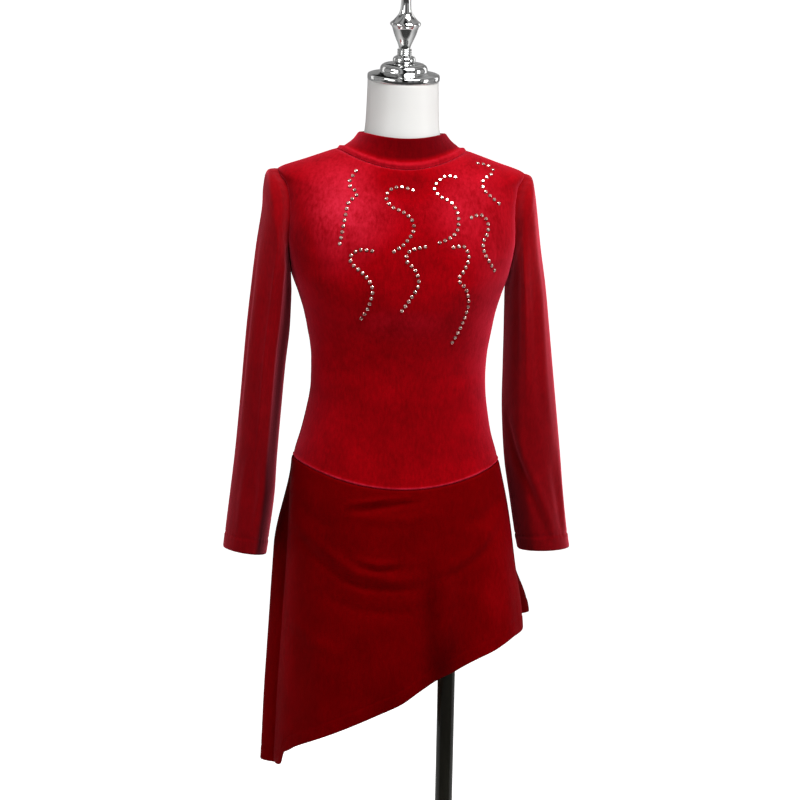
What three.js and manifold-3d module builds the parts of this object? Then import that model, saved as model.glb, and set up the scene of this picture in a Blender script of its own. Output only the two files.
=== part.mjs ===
// A figure skating dress on a limbless dress form with a pole stand.
// Millimetres, +Z up, front towards -Y, standing on Z = 0.
import * as THREE from 'three';
import Module from 'manifold-3d';

// Driving dimensions
const wall = 1.6; // thickness of every cloth wall
const seamGap = 0.3; // space between two sewn pieces
const formGap = 2.8; // space between the cloth and the form
const hipLevel = 938; // side height of the hip seam
const armpitLevel = 1198;
const shoulderLevel = 1344; // outer end of the shoulder seam
const neckLevel = 1374; // side height of the collar seam
const neckTop = 1470.5;
const neckMiddle = -5; // middle of the neck plate in y
const neckTilt = 11; // degrees the neck plate leans forward
const armholeDepthFront = 46;
const armholeDepthBack = 48;
const poleX = 80;
const poleRadius = 12.5;
const poleTop = 850;
const baseRadius = 170;
const baseThickness = 7;
const ferruleRadius = 26;
const ferruleHeight = 28;
const legLean = 42; // degrees the leg openings lean out
const torsoRows = 8; // rows of the bodice panels under the armhole
const armholeRows = 9; // rows of the bodice panels beside the armhole
const bodySteps = 12; // columns from a side to the middle, for body and skirt
const hipLevels = [771, 779, 795, 818, 860, 918]; // rows of form and brief under the hip seam

// The body surface as rings. level is the ring's height at the sides; the ring's front and
// back stand lower by their drops.
// level, half width, shift in x, front, front drop, back, back drop, squareness
const bodyRings = [
  [771, 36, 0, 22, 0, 26, 0, 2.0],
  [776, 76, 0, 48, 0, 56, 0, 2.0],
  [790, 109, 0, 77, 0, 86, 0, 2.1],
  [815, 131, 0, 94, 0, 105, 0, 2.2],
  [850, 141, 0, 102, 4, 114, 2, 2.3],
  [895, 144, 0, 105.5, 18, 115.5, 12, 2.35],
  [938, 145, 0, 107, 35, 114, 23, 2.35],
  [977, 134.8, 0, 101, 30, 103, 16, 2.3],
  [1005, 129, 0.7, 96, 25, 93, 10, 2.3],
  [1034, 124.6, 1.5, 92, 20, 85, 5, 2.25],
  [1062, 123.8, 1.6, 90, 15, 82, 2, 2.25],
  [1091, 125.2, 2.0, 93, 12, 85, 0, 2.25],
  [1119, 130, 1.8, 101, 10, 91, 0, 2.3],
  [1147, 135.7, 1.2, 112, 9, 97, 0, 2.35],
  [1174, 144, 0.6, 118, 9, 102, 0, 2.45],
  [1198, 152.5, 0, 118, 9, 105, 0, 2.6],
  [1245, 164, 0, 110, 12, 106, 0, 2.75],
  [1290, 167, 0, 97, 17, 102, 0, 2.6],
  [1325, 172, 0, 86, 24, 90, 0, 2.2],
  [1344, 174, 0, 79, 29, 76, 0, 2.0],
  [1359, 135, 0, 72, 29, 66, 0, 2.0],
  [1374, 92, 0, 66, 29, 54, 2, 2.0],
  [1381, 72, 0, 61, 22, 50, 2, 2.0],
  [1388, 61.5, 0, 59, 14, 51, 0, 2.0],
  [1400, 57.5, 0, 58.5, 8, 52, 0, 2.0],
  [1430, 55.5, 0, 58, 6, 50, -4, 2.0],
  [1495, 54, 0, 60, 6, 47, -4, 2.0],
];

// Collar rings: share of the height, half width, front, front height, back, back height,
// side height
const collarRings = [
  [0, 92, 66, 1345, 54, 1372, 1374],
  [0.35, 78, 62.5, 1356.5, 54.5, 1381, 1380.5],
  [0.65, 69, 60.5, 1370, 56.5, 1389, 1387.5],
  [1, 61, 59.5, 1388, 58, 1401, 1398],
];

// Skirt outline: height, half width towards -X, half width towards +X, front, back
const skirtRings = [
  [480, 167, 188, 123, 130],
  [543, 165, 187, 123, 130],
  [601, 163, 186.5, 123, 130],
  [659, 160, 189.5, 123, 129],
  [688, 158.5, 188.5, 122, 129],
  [717, 157, 186.2, 122, 128.5],
  [748, 155.5, 182, 121, 128],
  [776, 154, 176.5, 120, 127],
  [805, 152.5, 172, 119, 126],
  [834, 151.5, 168, 117.5, 125],
  [862, 151, 163.5, 115.5, 123],
  [890, 150, 158, 113, 120.5],
  [920, 147.5, 151, 110.5, 117.5],
  [945, 145, 145, 108, 114],
];

// The back panel stands out in a lip just behind each side seam: how far out, share of the
// height where it starts and where it is full
const lipRight = [19.5, 0.02, 0.3];
const lipLeft = [16, 0.6, 1];

// Hem heights of the skirt: x, front hem, back hem
const hemHeights = [
  [-164, 500, 499],
  [-156, 502, 495],
  [-153, 505.5, 497],
  [-151, 514.5, 501],
  [-150, 522, 503],
  [-147, 525.5, 505],
  [-143, 529, 507],
  [-134, 537, 509],
  [-112, 549, 513],
  [-65, 572, 541],
  [-34, 587, 561],
  [4, 606, 585],
  [29, 624, 602],
  [55, 640, 620],
  [87, 651.5, 642],
  [127, 672, 668],
  [161, 691, 692],
  [178, 694.5, 707],
  [188, 696.5, 714],
];

// Standing folds of the skirt: degrees round from +X with the front at 270, half width in
// degrees, how far the fold stands out at the hem, share of the height where it starts
const skirtFolds = [
  [300, 16, -9, 0.25],
  [322, 15, 4, 0.2],
  [275, 14, 4, 0.35],
  [236, 20, 4, 0.3],
  [46, 14, -8, 0.3],
  [78, 17, 9, 0.25],
  [108, 15, -7, 0.3],
  [134, 15, 7, 0.25],
];

// Sleeves from armhole to cuff: outer x, outer height, inner x, inner height, half depth,
// middle in y
const sleeveLeftRings = [
  [185, 1338, 152.6, 1190, 50, 1],
  [190, 1315, 152.0, 1182, 51.5, 1],
  [193.5, 1290, 151.5, 1172, 52, 1],
  [200, 1240, 151.2, 1150, 51, 0],
  [208.5, 1185, 151.0, 1115, 49, -1],
  [216, 1120, 150.6, 1068, 47.5, -2],
  [225.5, 1035, 150.6, 1010, 46.5, -3],
  [235, 950, 155.5, 940, 46, -4],
  [241, 890, 164.2, 885, 45, -5],
  [247.2, 840, 172.4, 836, 44, -6],
  [251.4, 814, 178.0, 810, 43.5, -6],
];
const sleeveRightRings = [
  [189, 1340, 152.6, 1190, 50, 1],
  [194, 1318, 152.0, 1182, 51.5, 1],
  [195.5, 1287, 151.6, 1172, 52, 1],
  [202.5, 1238, 152.0, 1150, 51, 0],
  [208.8, 1180, 153.5, 1115, 49, -1],
  [215, 1115, 158.5, 1068, 47.5, -2],
  [221.5, 1025, 163.2, 1008, 46.5, -3],
  [228, 945, 168.2, 938, 46, -4],
  [234, 888, 171.0, 884, 45, -5],
  [239.6, 837, 177.4, 831, 44, -6],
  [242.4, 809, 181.6, 800, 43.5, -6],
];

// Turned parts: radius, height
const capProfile = [
  [0, 0.3], [49.5, 0.3], [51, 2], [51, 7.5], [49, 9], [36, 12], [33.5, 14], [33, 18],
  [30, 22], [24, 24.3], [0, 24.3],
];
const finialProfile = [
  [0, 24.6], [14, 24.6], [16.2, 28.5], [14, 32.7], [8.6, 34.6], [10.5, 37], [10.7, 42],
  [8.2, 44.3], [9, 48.5], [12.6, 56.6], [18.2, 72.3], [21.8, 78], [21, 80.6], [13.2, 88],
  [8.9, 94.8], [7.2, 106], [7.2, 115], [10.7, 121.5], [10.9, 126], [7, 132], [0, 134],
];
const socketProfile = [
  [poleRadius + 0.3, baseThickness + 0.3], [ferruleRadius, baseThickness + 0.3],
  [ferruleRadius, baseThickness + 5], [18, baseThickness + 12],
  [16.5, baseThickness + ferruleHeight], [poleRadius + 0.3, baseThickness + ferruleHeight],
];
const baseProfile = [
  [0, 0], [baseRadius - 2, 0], [baseRadius, 2], [baseRadius, baseThickness - 2],
  [baseRadius - 2, baseThickness], [0, baseThickness],
];

// Smooth reading of a table by its first column
function sampleTable(table, key) {
  const last = table.length - 1;
  const at = Math.min(Math.max(key, table[0][0]), table[last][0]);
  let i = 0;
  while (i < last - 1 && at > table[i + 1][0]) {
    i += 1;
  }
  const step = table[i + 1][0] - table[i][0];
  const t = (at - table[i][0]) / step;
  const slope = (row, column) => {
    const before = table[Math.max(row - 1, 0)];
    const after = table[Math.min(row + 1, last)];
    return (after[column] - before[column]) / (after[0] - before[0]);
  };
  return table[i].map((value, column) => {
    const a = value;
    const b = table[i + 1][column];
    const bend = t * (1 - t) * ((1 - t) * (slope(i, column) * step - (b - a))
      + t * ((b - a) - slope(i + 1, column) * step));
    return a + (b - a) * t + bend;
  });
}

function mix(a, b, t) {
  return a + (b - a) * t;
}

function ease(t) {
  const clamped = Math.min(Math.max(t, 0), 1);
  return clamped * clamped * (3 - 2 * clamped);
}

// Point of the body surface; side is 1 or -1 for +X or -X, face is -1 for front, 1 for back,
// and turn runs from 0 at the side to 1 in the middle
function bodyPoint(level, side, face, turn) {
  const [, half, shift, front, frontDrop, back, backDrop, power] = sampleTable(bodyRings, level);
  const angle = turn * Math.PI / 2;
  const depth = face < 0 ? front : back;
  const drop = face < 0 ? frontDrop : backDrop;
  const across = Math.max(Math.cos(angle), 0) ** (2 / power);
  const deep = Math.sin(angle) ** (2 / power);
  return new THREE.Vector3(
    shift + side * half * across,
    face * depth * deep,
    level - drop * (1 - across * across),
  );
}

// Share of the way round at which a ring stands this far from the side line
function turnAtDepth(level, face, depth) {
  const row = sampleTable(bodyRings, level);
  const reach = face < 0 ? row[3] : row[5];
  return Math.asin((depth / reach) ** (row[7] / 2)) * 2 / Math.PI;
}

// Half depth of the armhole oval at a level
function armholeDepth(level, face) {
  const middle = (armpitLevel + shoulderLevel) / 2;
  const share = (level - middle) / (shoulderLevel - middle);
  if (Math.abs(share) >= 1) {
    return 0;
  }
  const widest = face < 0 ? armholeDepthFront : armholeDepthBack;
  return widest * Math.sqrt(1 - share * share);
}

// Direction of a line of points at one of them; at the two ends the line's bend is counted
function directionAt(points, i) {
  const last = points.length - 1;
  if (i === 0) {
    return points[1].clone().multiplyScalar(4).addScaledVector(points[0], -3).sub(points[2]);
  }
  if (i === last) {
    return points[last].clone().multiplyScalar(3)
      .addScaledVector(points[last - 1], -4).add(points[last - 2]);
  }
  return points[i + 1].clone().sub(points[i - 1]);
}

// Closed wall from rows of outer points; closed rows wrap round in u
function wallFromRows(rows, closed, thickness = wall) {
  const wide = rows[0].length;
  const inner = rows.map((row, j) => row.map((point, i) => {
    const column = rows.map((each) => each[i]);
    const along = closed
      ? row[(i + 1) % wide].clone().sub(row[(i + wide - 1) % wide])
      : directionAt(row, i);
    return point.clone().addScaledVector(
      along.cross(directionAt(column, j)).normalize(), -thickness);
  }));
  const corners = [];
  const face = (a, b, c, d) => corners.push(a, b, c, a, c, d);
  const columns = closed ? wide : wide - 1;
  const top = rows.length - 1;
  for (let j = 0; j < top; j += 1) {
    for (let i = 0; i < columns; i += 1) {
      const k = (i + 1) % wide;
      face(rows[j][i], rows[j][k], rows[j + 1][k], rows[j + 1][i]);
      face(inner[j][k], inner[j][i], inner[j + 1][i], inner[j + 1][k]);
    }
  }
  for (let i = 0; i < columns; i += 1) {
    const k = (i + 1) % wide;
    face(inner[0][i], inner[0][k], rows[0][k], rows[0][i]);
    face(rows[top][i], rows[top][k], inner[top][k], inner[top][i]);
  }
  if (!closed) {
    const end = wide - 1;
    for (let j = 0; j < top; j += 1) {
      face(inner[j][0], rows[j][0], rows[j + 1][0], inner[j + 1][0]);
      face(rows[j][end], inner[j][end], inner[j + 1][end], rows[j + 1][end]);
    }
  }
  return geometryFromCorners(corners);
}

function geometryFromCorners(corners) {
  const geometry = new THREE.BufferGeometry();
  geometry.setAttribute('position', new THREE.Float32BufferAttribute(
    corners.flatMap((point) => [point.x, point.y, point.z]), 3));
  geometry.computeVertexNormals();
  return geometry;
}

// One full row of a panel from one side edge through the middle to the other; the row runs
// so that the surface faces out
function panelRow(level, face, edgeDepth, pointAt) {
  const edge = turnAtDepth(level, face, Math.max(edgeDepth, seamGap / 2));
  const row = [];
  for (let i = 0; i <= 2 * bodySteps; i += 1) {
    const across = i / bodySteps - 1;
    const turn = mix(edge, 1, 1 - Math.abs(across));
    const side = across * face > 0 ? -1 : 1;
    row.push(pointAt(level, side, face, turn));
  }
  return row;
}

// Levels of the rows from the hip seam to the collar seam, closer at the ends of the armhole
function bodiceLevels() {
  const levels = [];
  for (let j = 0; j < torsoRows; j += 1) {
    levels.push(mix(hipLevel, armpitLevel, j / torsoRows));
  }
  for (let j = 0; j <= armholeRows; j += 1) {
    const share = (1 - Math.cos(j / armholeRows * Math.PI)) / 2;
    levels.push(mix(armpitLevel, shoulderLevel, share));
  }
  levels.push(mix(shoulderLevel, neckLevel, 0.5));
  levels.push(neckLevel);
  return levels;
}

function bodicePanel(face) {
  const levels = bodiceLevels();
  levels[0] += seamGap / 2;
  levels[levels.length - 1] -= seamGap / 2;
  return wallFromRows(levels.map((level) => (
    panelRow(level, face, armholeDepth(level, face), bodyPoint))), false);
}

// The whole ring of the body at a level, from +X by the back
function bodyRing(level) {
  const row = [];
  for (let i = 0; i < 4 * bodySteps; i += 1) {
    const quarter = Math.floor(i / bodySteps);
    const share = (i % bodySteps) / bodySteps;
    const turn = quarter % 2 === 0 ? share : 1 - share;
    const side = quarter === 0 || quarter === 3 ? 1 : -1;
    row.push(bodyPoint(level, side, quarter < 2 ? 1 : -1, turn));
  }
  return row;
}

// Rings moved inwards along their normals
function shrinkRings(rows, distance) {
  return rows.map((row, j) => row.map((point, i) => {
    const along = row[(i + 1) % row.length].clone().sub(row[(i + row.length - 1) % row.length]);
    const column = rows.map((each) => each[i]);
    return point.clone().addScaledVector(
      along.cross(directionAt(column, j)).normalize(), -distance);
  }));
}

// Solid body between the first and the last ring, closed with a cap at each end
function solidFromRings(rows, bottomPoint, topPoint) {
  const corners = [];
  const wide = rows[0].length;
  const top = rows.length - 1;
  for (let i = 0; i < wide; i += 1) {
    const k = (i + 1) % wide;
    for (let j = 0; j < top; j += 1) {
      corners.push(rows[j][i], rows[j][k], rows[j + 1][k]);
      corners.push(rows[j][i], rows[j + 1][k], rows[j + 1][i]);
    }
    corners.push(rows[0][k], rows[0][i], bottomPoint);
    corners.push(rows[top][i], rows[top][k], topPoint);
  }
  return geometryFromCorners(corners);
}

function meanPoint(row) {
  const sum = row.reduce((total, point) => total.add(point), new THREE.Vector3());
  return sum.divideScalar(row.length);
}

const wasm = await Module();
wasm.setup();

function toManifold(geometry) {
  const position = (geometry.index ? geometry.toNonIndexed() : geometry)
    .getAttribute('position');
  const keys = new Map();
  const vertices = [];
  const triangles = [];
  for (let i = 0; i < position.count; i += 1) {
    const point = [position.getX(i), position.getY(i), position.getZ(i)];
    const key = point.map((value) => Math.round(value * 1000) + 0).join(' ');
    if (!keys.has(key)) {
      keys.set(key, vertices.length / 3);
      vertices.push(...point);
    }
    triangles.push(keys.get(key));
  }
  const kept = [];
  for (let i = 0; i < triangles.length; i += 3) {
    const [a, b, c] = triangles.slice(i, i + 3);
    if (a !== b && b !== c && c !== a) {
      kept.push(a, b, c);
    }
  }
  return new wasm.Manifold(new wasm.Mesh({
    numProp: 3,
    vertProperties: new Float32Array(vertices),
    triVerts: new Uint32Array(kept),
  }));
}

function fromManifold(solid) {
  const mesh = solid.getMesh();
  const points = [];
  for (const index of mesh.triVerts) {
    const at = index * mesh.numProp;
    points.push(new THREE.Vector3(...mesh.vertProperties.slice(at, at + 3)));
  }
  return geometryFromCorners(points);
}

function turned(profile, segments) {
  const points = profile.map(([radius, height]) => new THREE.Vector2(radius, height));
  if (profile[0][0] > 0) {
    points.push(points[0].clone());
  }
  const geometry = new THREE.LatheGeometry(points, segments);
  geometry.rotateX(Math.PI / 2);
  return geometry;
}

// The form: torso and neck in one, the neck cut to a leaning plate, with a bore from below
// for the pole
function formBody() {
  const levels = [...hipLevels, ...bodiceLevels(), 1379, 1386, 1396, 1430, 1495];
  const rings = shrinkRings(levels.map(bodyRing), wall + formGap);
  const bottom = meanPoint(rings[0]);
  const solid = toManifold(solidFromRings(rings, bottom, meanPoint(rings[rings.length - 1])));
  const bore = turned([[0, 700], [poleRadius + 0.3, 700], [poleRadius + 0.3, poleTop + 0.3],
    [0, poleTop + 0.3]], 28);
  bore.translate(poleX, 0, 0);
  const tilt = neckTilt * Math.PI / 180;
  const down = [0, Math.sin(tilt), -Math.cos(tilt)];
  return fromManifold(solid.subtract(toManifold(bore))
    .trimByPlane(down, neckMiddle * down[1] + neckTop * down[2]));
}

// The brief: a wall round the bottom of the form with two leg openings, front and back
// meeting at the sides and under the form
function briefPieces() {
  const levels = [...hipLevels, hipLevel - seamGap / 2];
  const outer = levels.reverse().map(bodyRing);
  const inner = shrinkRings(outer.slice().reverse(), wall).reverse();
  const bottomOuter = meanPoint(outer[outer.length - 1]).setZ(770);
  const bottomInner = bottomOuter.clone().setZ(770 + wall);
  const corners = [];
  const wide = outer[0].length;
  const last = outer.length - 1;
  const face = (a, b, c, d) => corners.push(a, b, c, a, c, d);
  for (let i = 0; i < wide; i += 1) {
    const k = (i + 1) % wide;
    for (let j = 0; j < last; j += 1) {
      face(outer[j + 1][i], outer[j + 1][k], outer[j][k], outer[j][i]);
      face(inner[j + 1][k], inner[j + 1][i], inner[j][i], inner[j][k]);
    }
    face(outer[0][i], outer[0][k], inner[0][k], inner[0][i]);
    corners.push(outer[last][k], outer[last][i], bottomOuter);
    corners.push(inner[last][i], inner[last][k], bottomInner);
  }
  let solid = toManifold(geometryFromCorners(corners));
  const legAngles = Array.from({ length: 28 }, (_, i) => i / 14 * Math.PI);
  for (const side of [-1, 1]) {
    const lean = side * legLean * Math.PI / 180;
    const rows = [-65, 65].map((along) => legAngles.map((angle) => new THREE.Vector3(
      side * 98 + Math.cos(lean) * 74 * Math.cos(angle) - Math.sin(lean) * along,
      80 * Math.sin(angle),
      812 + Math.sin(lean) * 74 * Math.cos(angle) + Math.cos(lean) * along,
    )));
    solid = solid.subtract(toManifold(
      solidFromRings(rows, meanPoint(rows[0]), meanPoint(rows[1]))));
  }
  return [-1, 1].map((facing) => {
    const half = new THREE.BoxGeometry(400, 200, 400);
    half.translate(0, facing * (100 + seamGap / 2), 800);
    return fromManifold(solid.intersect(toManifold(half)));
  });
}

function collarPiece() {
  const rows = [];
  for (let j = 0; j <= 4; j += 1) {
    const share = j / 4;
    const [, half, front, frontHeight, back, backHeight, sideHeight] =
      sampleTable(collarRings, share);
    const row = [];
    for (let i = 0; i < 2 * bodySteps; i += 1) {
      const angle = i / bodySteps * Math.PI;
      const deep = Math.sin(angle);
      const isFront = deep < 0;
      row.push(new THREE.Vector3(
        half * Math.cos(angle),
        deep * (isFront ? front : back),
        mix(sideHeight, isFront ? frontHeight : backHeight, deep * deep)
          + (j === 0 ? seamGap : 0),
      ));
    }
    rows.push(row);
  }
  return wallFromRows(rows, true);
}

// The armhole edge on the body, and from there out along the sleeve's rings
function sleevePiece(side, rings) {
  const around = 4 * armholeRows;
  const rows = [];
  const edge = [];
  for (let i = 0; i < around; i += 1) {
    const angle = i / around * 2 * Math.PI;
    const level = mix(armpitLevel, shoulderLevel, (1 + Math.cos(angle)) / 2);
    const face = Math.sin(angle) * side > 0 ? 1 : -1;
    const depth = Math.max(armholeDepth(level, face), 0.01);
    const point = bodyPoint(level, side, face, turnAtDepth(level, face, depth));
    point.x += side * (seamGap + 0.1);
    edge.push(point);
  }
  // every second point lies on the straight edge between two rows of the panel
  for (let i = 1; i < around; i += 2) {
    edge[i].copy(edge[i - 1]).add(edge[(i + 1) % around]).multiplyScalar(0.5);
  }
  const columns = edge.map((point, i) => {
    const angle = i / around * 2 * Math.PI;
    const table = rings.map(([outX, outZ, inX, inZ, depth, middle], j) => {
      const share = (1 + Math.cos(angle)) / 2;
      return [j + 1, side * mix(inX, outX, share),
        middle + side * Math.sin(angle) * depth, mix(inZ, outZ, share)];
    });
    return [[0, point.x, point.y, point.z], ...table];
  });
  const keys = [0, 0.5, 1, 2, 3, 4, 5, 6, 7, 8, 9, 10, 11];
  for (const key of keys) {
    rows.push(columns.map((table) => {
      const [, x, y, z] = sampleTable(table, key);
      return new THREE.Vector3(x, y, z);
    }));
  }
  return wallFromRows(rows.reverse(), true);
}

function foldOut(degrees, share) {
  let sum = 0;
  for (const [middle, halfWidth, out, start] of skirtFolds) {
    const away = Math.abs(((degrees - middle + 540) % 360) - 180) / halfWidth;
    if (away < 1) {
      const grown = ease((share - start) / (1 - start)) ** 0.7;
      sum += out * (0.5 + 0.5 * Math.cos(away * Math.PI)) * grown;
    }
  }
  return sum;
}

// Skirt point: share runs from 0 at the hip seam to 1 at the hem
function skirtPoint(share, side, face, turn) {
  const outlinePoint = (height) => {
    const [, minusX, plusX, front, back] = sampleTable(skirtRings, height);
    const angle = turn * Math.PI / 2;
    const power = 2.3;
    return new THREE.Vector3(
      side * (side < 0 ? minusX : plusX) * Math.max(Math.cos(angle), 0) ** (2 / power),
      face * (face < 0 ? front : back) * Math.sin(angle) ** (2 / power),
      height,
    );
  };
  const seam = bodyPoint(hipLevel, side, face, turn);
  const seamOut = new THREE.Vector3(seam.x / 145, seam.y / 110, 0).normalize();
  seam.addScaledVector(seamOut, wall + seamGap + 0.1);
  const middle = outlinePoint(650);
  const hem = sampleTable(hemHeights, middle.x)[face < 0 ? 1 : 2];
  const height = mix(seam.z, hem, share);
  const point = outlinePoint(height);
  const atSeam = outlinePoint(seam.z);
  const kept = 1 - ease(share / 0.16);
  point.x += (seam.x - atSeam.x) * kept;
  point.y += (seam.y - atSeam.y) * kept;
  const degrees = Math.atan2(point.y / 120, point.x / 180) * 180 / Math.PI;
  const out = new THREE.Vector3(point.x / 180, point.y / 120, 0).normalize();
  const behind = face > 0 ? turn * 90 / 9 : 0;
  const [lipOut, lipStart, lipFull] = side < 0 ? lipRight : lipLeft;
  const lip = lipOut * ease((share - lipStart) / (lipFull - lipStart))
    * behind * Math.exp(1 - behind);
  return point.addScaledVector(out, foldOut(degrees, share) + lip);
}

function skirtPanel(face) {
  const shares = [1, 0.9, 0.79, 0.67, 0.55, 0.43, 0.32, 0.22, 0.13, 0.06, 0];
  const rows = shares.map((share) => (
    panelRow(hipLevel, face, seamGap / 2, (level, side, facing, turn) => (
      skirtPoint(share, side, facing, turn)))));
  return wallFromRows(rows, false);
}

const group = new THREE.Group();

function addPart(name, geometry, color, roughness, metalness) {
  const material = new THREE.MeshStandardMaterial({ color, roughness, metalness });
  material.name = `${name}_material`;
  const mesh = new THREE.Mesh(geometry, material);
  mesh.name = name;
  group.add(mesh);
}

const red = 0xa8081c;
addPart('bodice_front', bodicePanel(-1), red, 0.8, 0);
addPart('bodice_back', bodicePanel(1), red, 0.8, 0);
addPart('collar', collarPiece(), red, 0.8, 0);
addPart('sleeve_left', sleevePiece(1, sleeveLeftRings), red, 0.8, 0);
addPart('sleeve_right', sleevePiece(-1, sleeveRightRings), red, 0.8, 0);
addPart('skirt_front', skirtPanel(-1), red, 0.8, 0);
addPart('skirt_back', skirtPanel(1), red, 0.8, 0);
const [briefFront, briefBack] = briefPieces();
addPart('brief_front', briefFront, red, 0.8, 0);
addPart('brief_back', briefBack, red, 0.8, 0);
addPart('form_body', formBody(), 0xe8e8e8, 0.5, 0);

// The cap and the finial stand on the leaning neck plate
for (const [name, profile, segments] of [
  ['neck_cap', capProfile, 36], ['finial', finialProfile, 16]]) {
  const geometry = turned(profile, segments);
  geometry.rotateX(neckTilt * Math.PI / 180);
  geometry.translate(0, neckMiddle, neckTop);
  addPart(name, geometry, 0xd0d0d0, 0.1, 1);
}
const pole = new THREE.CylinderGeometry(poleRadius, poleRadius,
  poleTop - baseThickness - 0.3, 28);
pole.rotateX(Math.PI / 2);
pole.translate(poleX, 0, (poleTop + baseThickness + 0.3) / 2);
addPart('pole', pole, 0x1c1c18, 0.2, 0);
const ferrule = turned(socketProfile, 28);
ferrule.translate(poleX, 0, 0);
addPart('pole_socket', ferrule, 0x1c1c18, 0.2, 0);
const base = turned(baseProfile, 40);
base.translate(poleX, 0, 0);
addPart('stand_base', base, 0x1c1c18, 0.3, 0);

export default group;
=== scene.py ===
import math
import bmesh
import bpy
import numpy as np
from mathutils import Matrix, Vector
from mathutils.bvhtree import BVHTree


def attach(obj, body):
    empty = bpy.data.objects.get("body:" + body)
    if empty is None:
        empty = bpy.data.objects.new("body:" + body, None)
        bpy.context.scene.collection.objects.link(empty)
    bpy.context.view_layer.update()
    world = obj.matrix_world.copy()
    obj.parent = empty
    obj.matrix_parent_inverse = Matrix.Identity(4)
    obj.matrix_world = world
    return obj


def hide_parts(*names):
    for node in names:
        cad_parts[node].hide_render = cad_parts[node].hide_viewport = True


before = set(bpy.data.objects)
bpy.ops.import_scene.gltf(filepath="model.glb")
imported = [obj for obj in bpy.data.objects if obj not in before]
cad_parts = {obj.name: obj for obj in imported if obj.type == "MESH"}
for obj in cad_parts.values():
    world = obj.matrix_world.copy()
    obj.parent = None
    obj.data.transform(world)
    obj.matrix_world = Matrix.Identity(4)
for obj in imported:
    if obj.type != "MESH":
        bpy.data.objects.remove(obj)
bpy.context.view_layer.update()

bpy.ops.object.select_all(action="DESELECT")

# Camera, light and floor of the photo studio: a long lens a little to the wearer's right and above,
# rolled by a degree as the photo is, big soft boxes from above and both sides, and a seamless pale
# paper floor that runs up into the backdrop.
view_turn, view_lift, view_roll = math.radians(-5.0), math.radians(5.0), math.radians(1.2)
view_distance = 3.6
picture_pixels, metres_per_pixel, sensor_width = 800.0, 0.00142, 36.0
view_middle = Vector((0.005, 0.0, 1.0194))
toward_eye = Vector((math.sin(view_turn) * math.cos(view_lift),
                     -math.cos(view_turn) * math.cos(view_lift), math.sin(view_lift)))
level_right = (-toward_eye).cross(Vector((0, 0, 1))).normalized()
level_up = level_right.cross(-toward_eye)
eye_right = level_right * math.cos(view_roll) + level_up * math.sin(view_roll)
eye_up = level_up * math.cos(view_roll) - level_right * math.sin(view_roll)
camera_data = bpy.data.cameras.new("studio_camera")
camera_data.sensor_width = sensor_width
camera_data.lens = sensor_width * view_distance / (metres_per_pixel * picture_pixels)
camera_data.clip_end = 60.0
camera = bpy.data.objects.new("studio_camera", camera_data)
camera.matrix_world = Matrix((
    (eye_right.x, eye_up.x, toward_eye.x, 0), (eye_right.y, eye_up.y, toward_eye.y, 0),
    (eye_right.z, eye_up.z, toward_eye.z, 0), (0, 0, 0, 1)))
camera.location = view_middle + toward_eye * view_distance
bpy.context.collection.objects.link(camera)
bpy.context.scene.camera = camera
bpy.context.scene.view_settings.view_transform = "Standard"


def soft_box(name, place, aim, width, height, watts):
    """A rectangular area light at a place, turned toward an aim"""
    light = bpy.data.lights.new(name, "AREA")
    light.shape = "RECTANGLE"
    light.size, light.size_y, light.energy = width, height, watts
    lamp = bpy.data.objects.new(name, light)
    lamp.location = place
    lamp.rotation_euler = (Vector(aim) - Vector(place)).to_track_quat("-Z", "Y").to_euler()
    bpy.context.collection.objects.link(lamp)


soft_box("key_box", (0.45, -0.75, 2.55), (0.05, 0.0, 1.3), 0.8, 0.5, 40)
soft_box("fill_box", (-2.0, -2.2, 1.9), (0.0, 0.0, 1.2), 1.0, 1.4, 12)
soft_box("side_box", (1.9, -0.7, 1.5), (0.0, 0.0, 1.0), 0.5, 1.3, 10)
soft_box("neck_box", (-1.1, -0.7, 2.0), (0.0, 0.0, 1.46), 0.4, 0.4, 6)
soft_box("back_box_left", (-2.0, 1.2, 2.0), (0.0, 0.0, 1.1), 0.7, 1.8, 4)
soft_box("back_box_right", (2.0, 1.4, 2.0), (0.0, 0.0, 1.1), 0.7, 1.8, 8)


def linear(hex_colour):
    """An sRGB hex colour as linear red, green, blue and alpha"""
    parts = [int(hex_colour[i:i + 2], 16) / 255 for i in (1, 3, 5)]
    return tuple(c / 12.92 if c <= 0.04045 else ((c + 0.055) / 1.055) ** 2.4
                 for c in parts) + (1.0,)


def add_node(material, kind, settings=None, links=None):
    """Adds a node: settings go to its fields or sockets, links join its sockets to others"""
    node = material.node_tree.nodes.new(kind)
    for key, value in (settings or {}).items():
        if isinstance(key, str) and hasattr(node, key):
            setattr(node, key, value)
        else:
            node.inputs[key].default_value = value
    for key, source in (links or {}).items():
        material.node_tree.links.new(source, node.inputs[key])
    return node


def per_metre(millimetres):
    """The noise scale that gives grains of a real size on coordinates in metres"""
    return 1000 / millimetres


def new_material(name):
    """An empty material of nodes"""
    material = bpy.data.materials.new(name)
    material.use_nodes = True
    material.node_tree.nodes.clear()
    return material


def finish_material(material, shader):
    """Joins a shader to the surface of a material"""
    out = add_node(material, "ShaderNodeOutputMaterial")
    material.node_tree.links.new(shader.outputs[0], out.inputs["Surface"])


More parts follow.
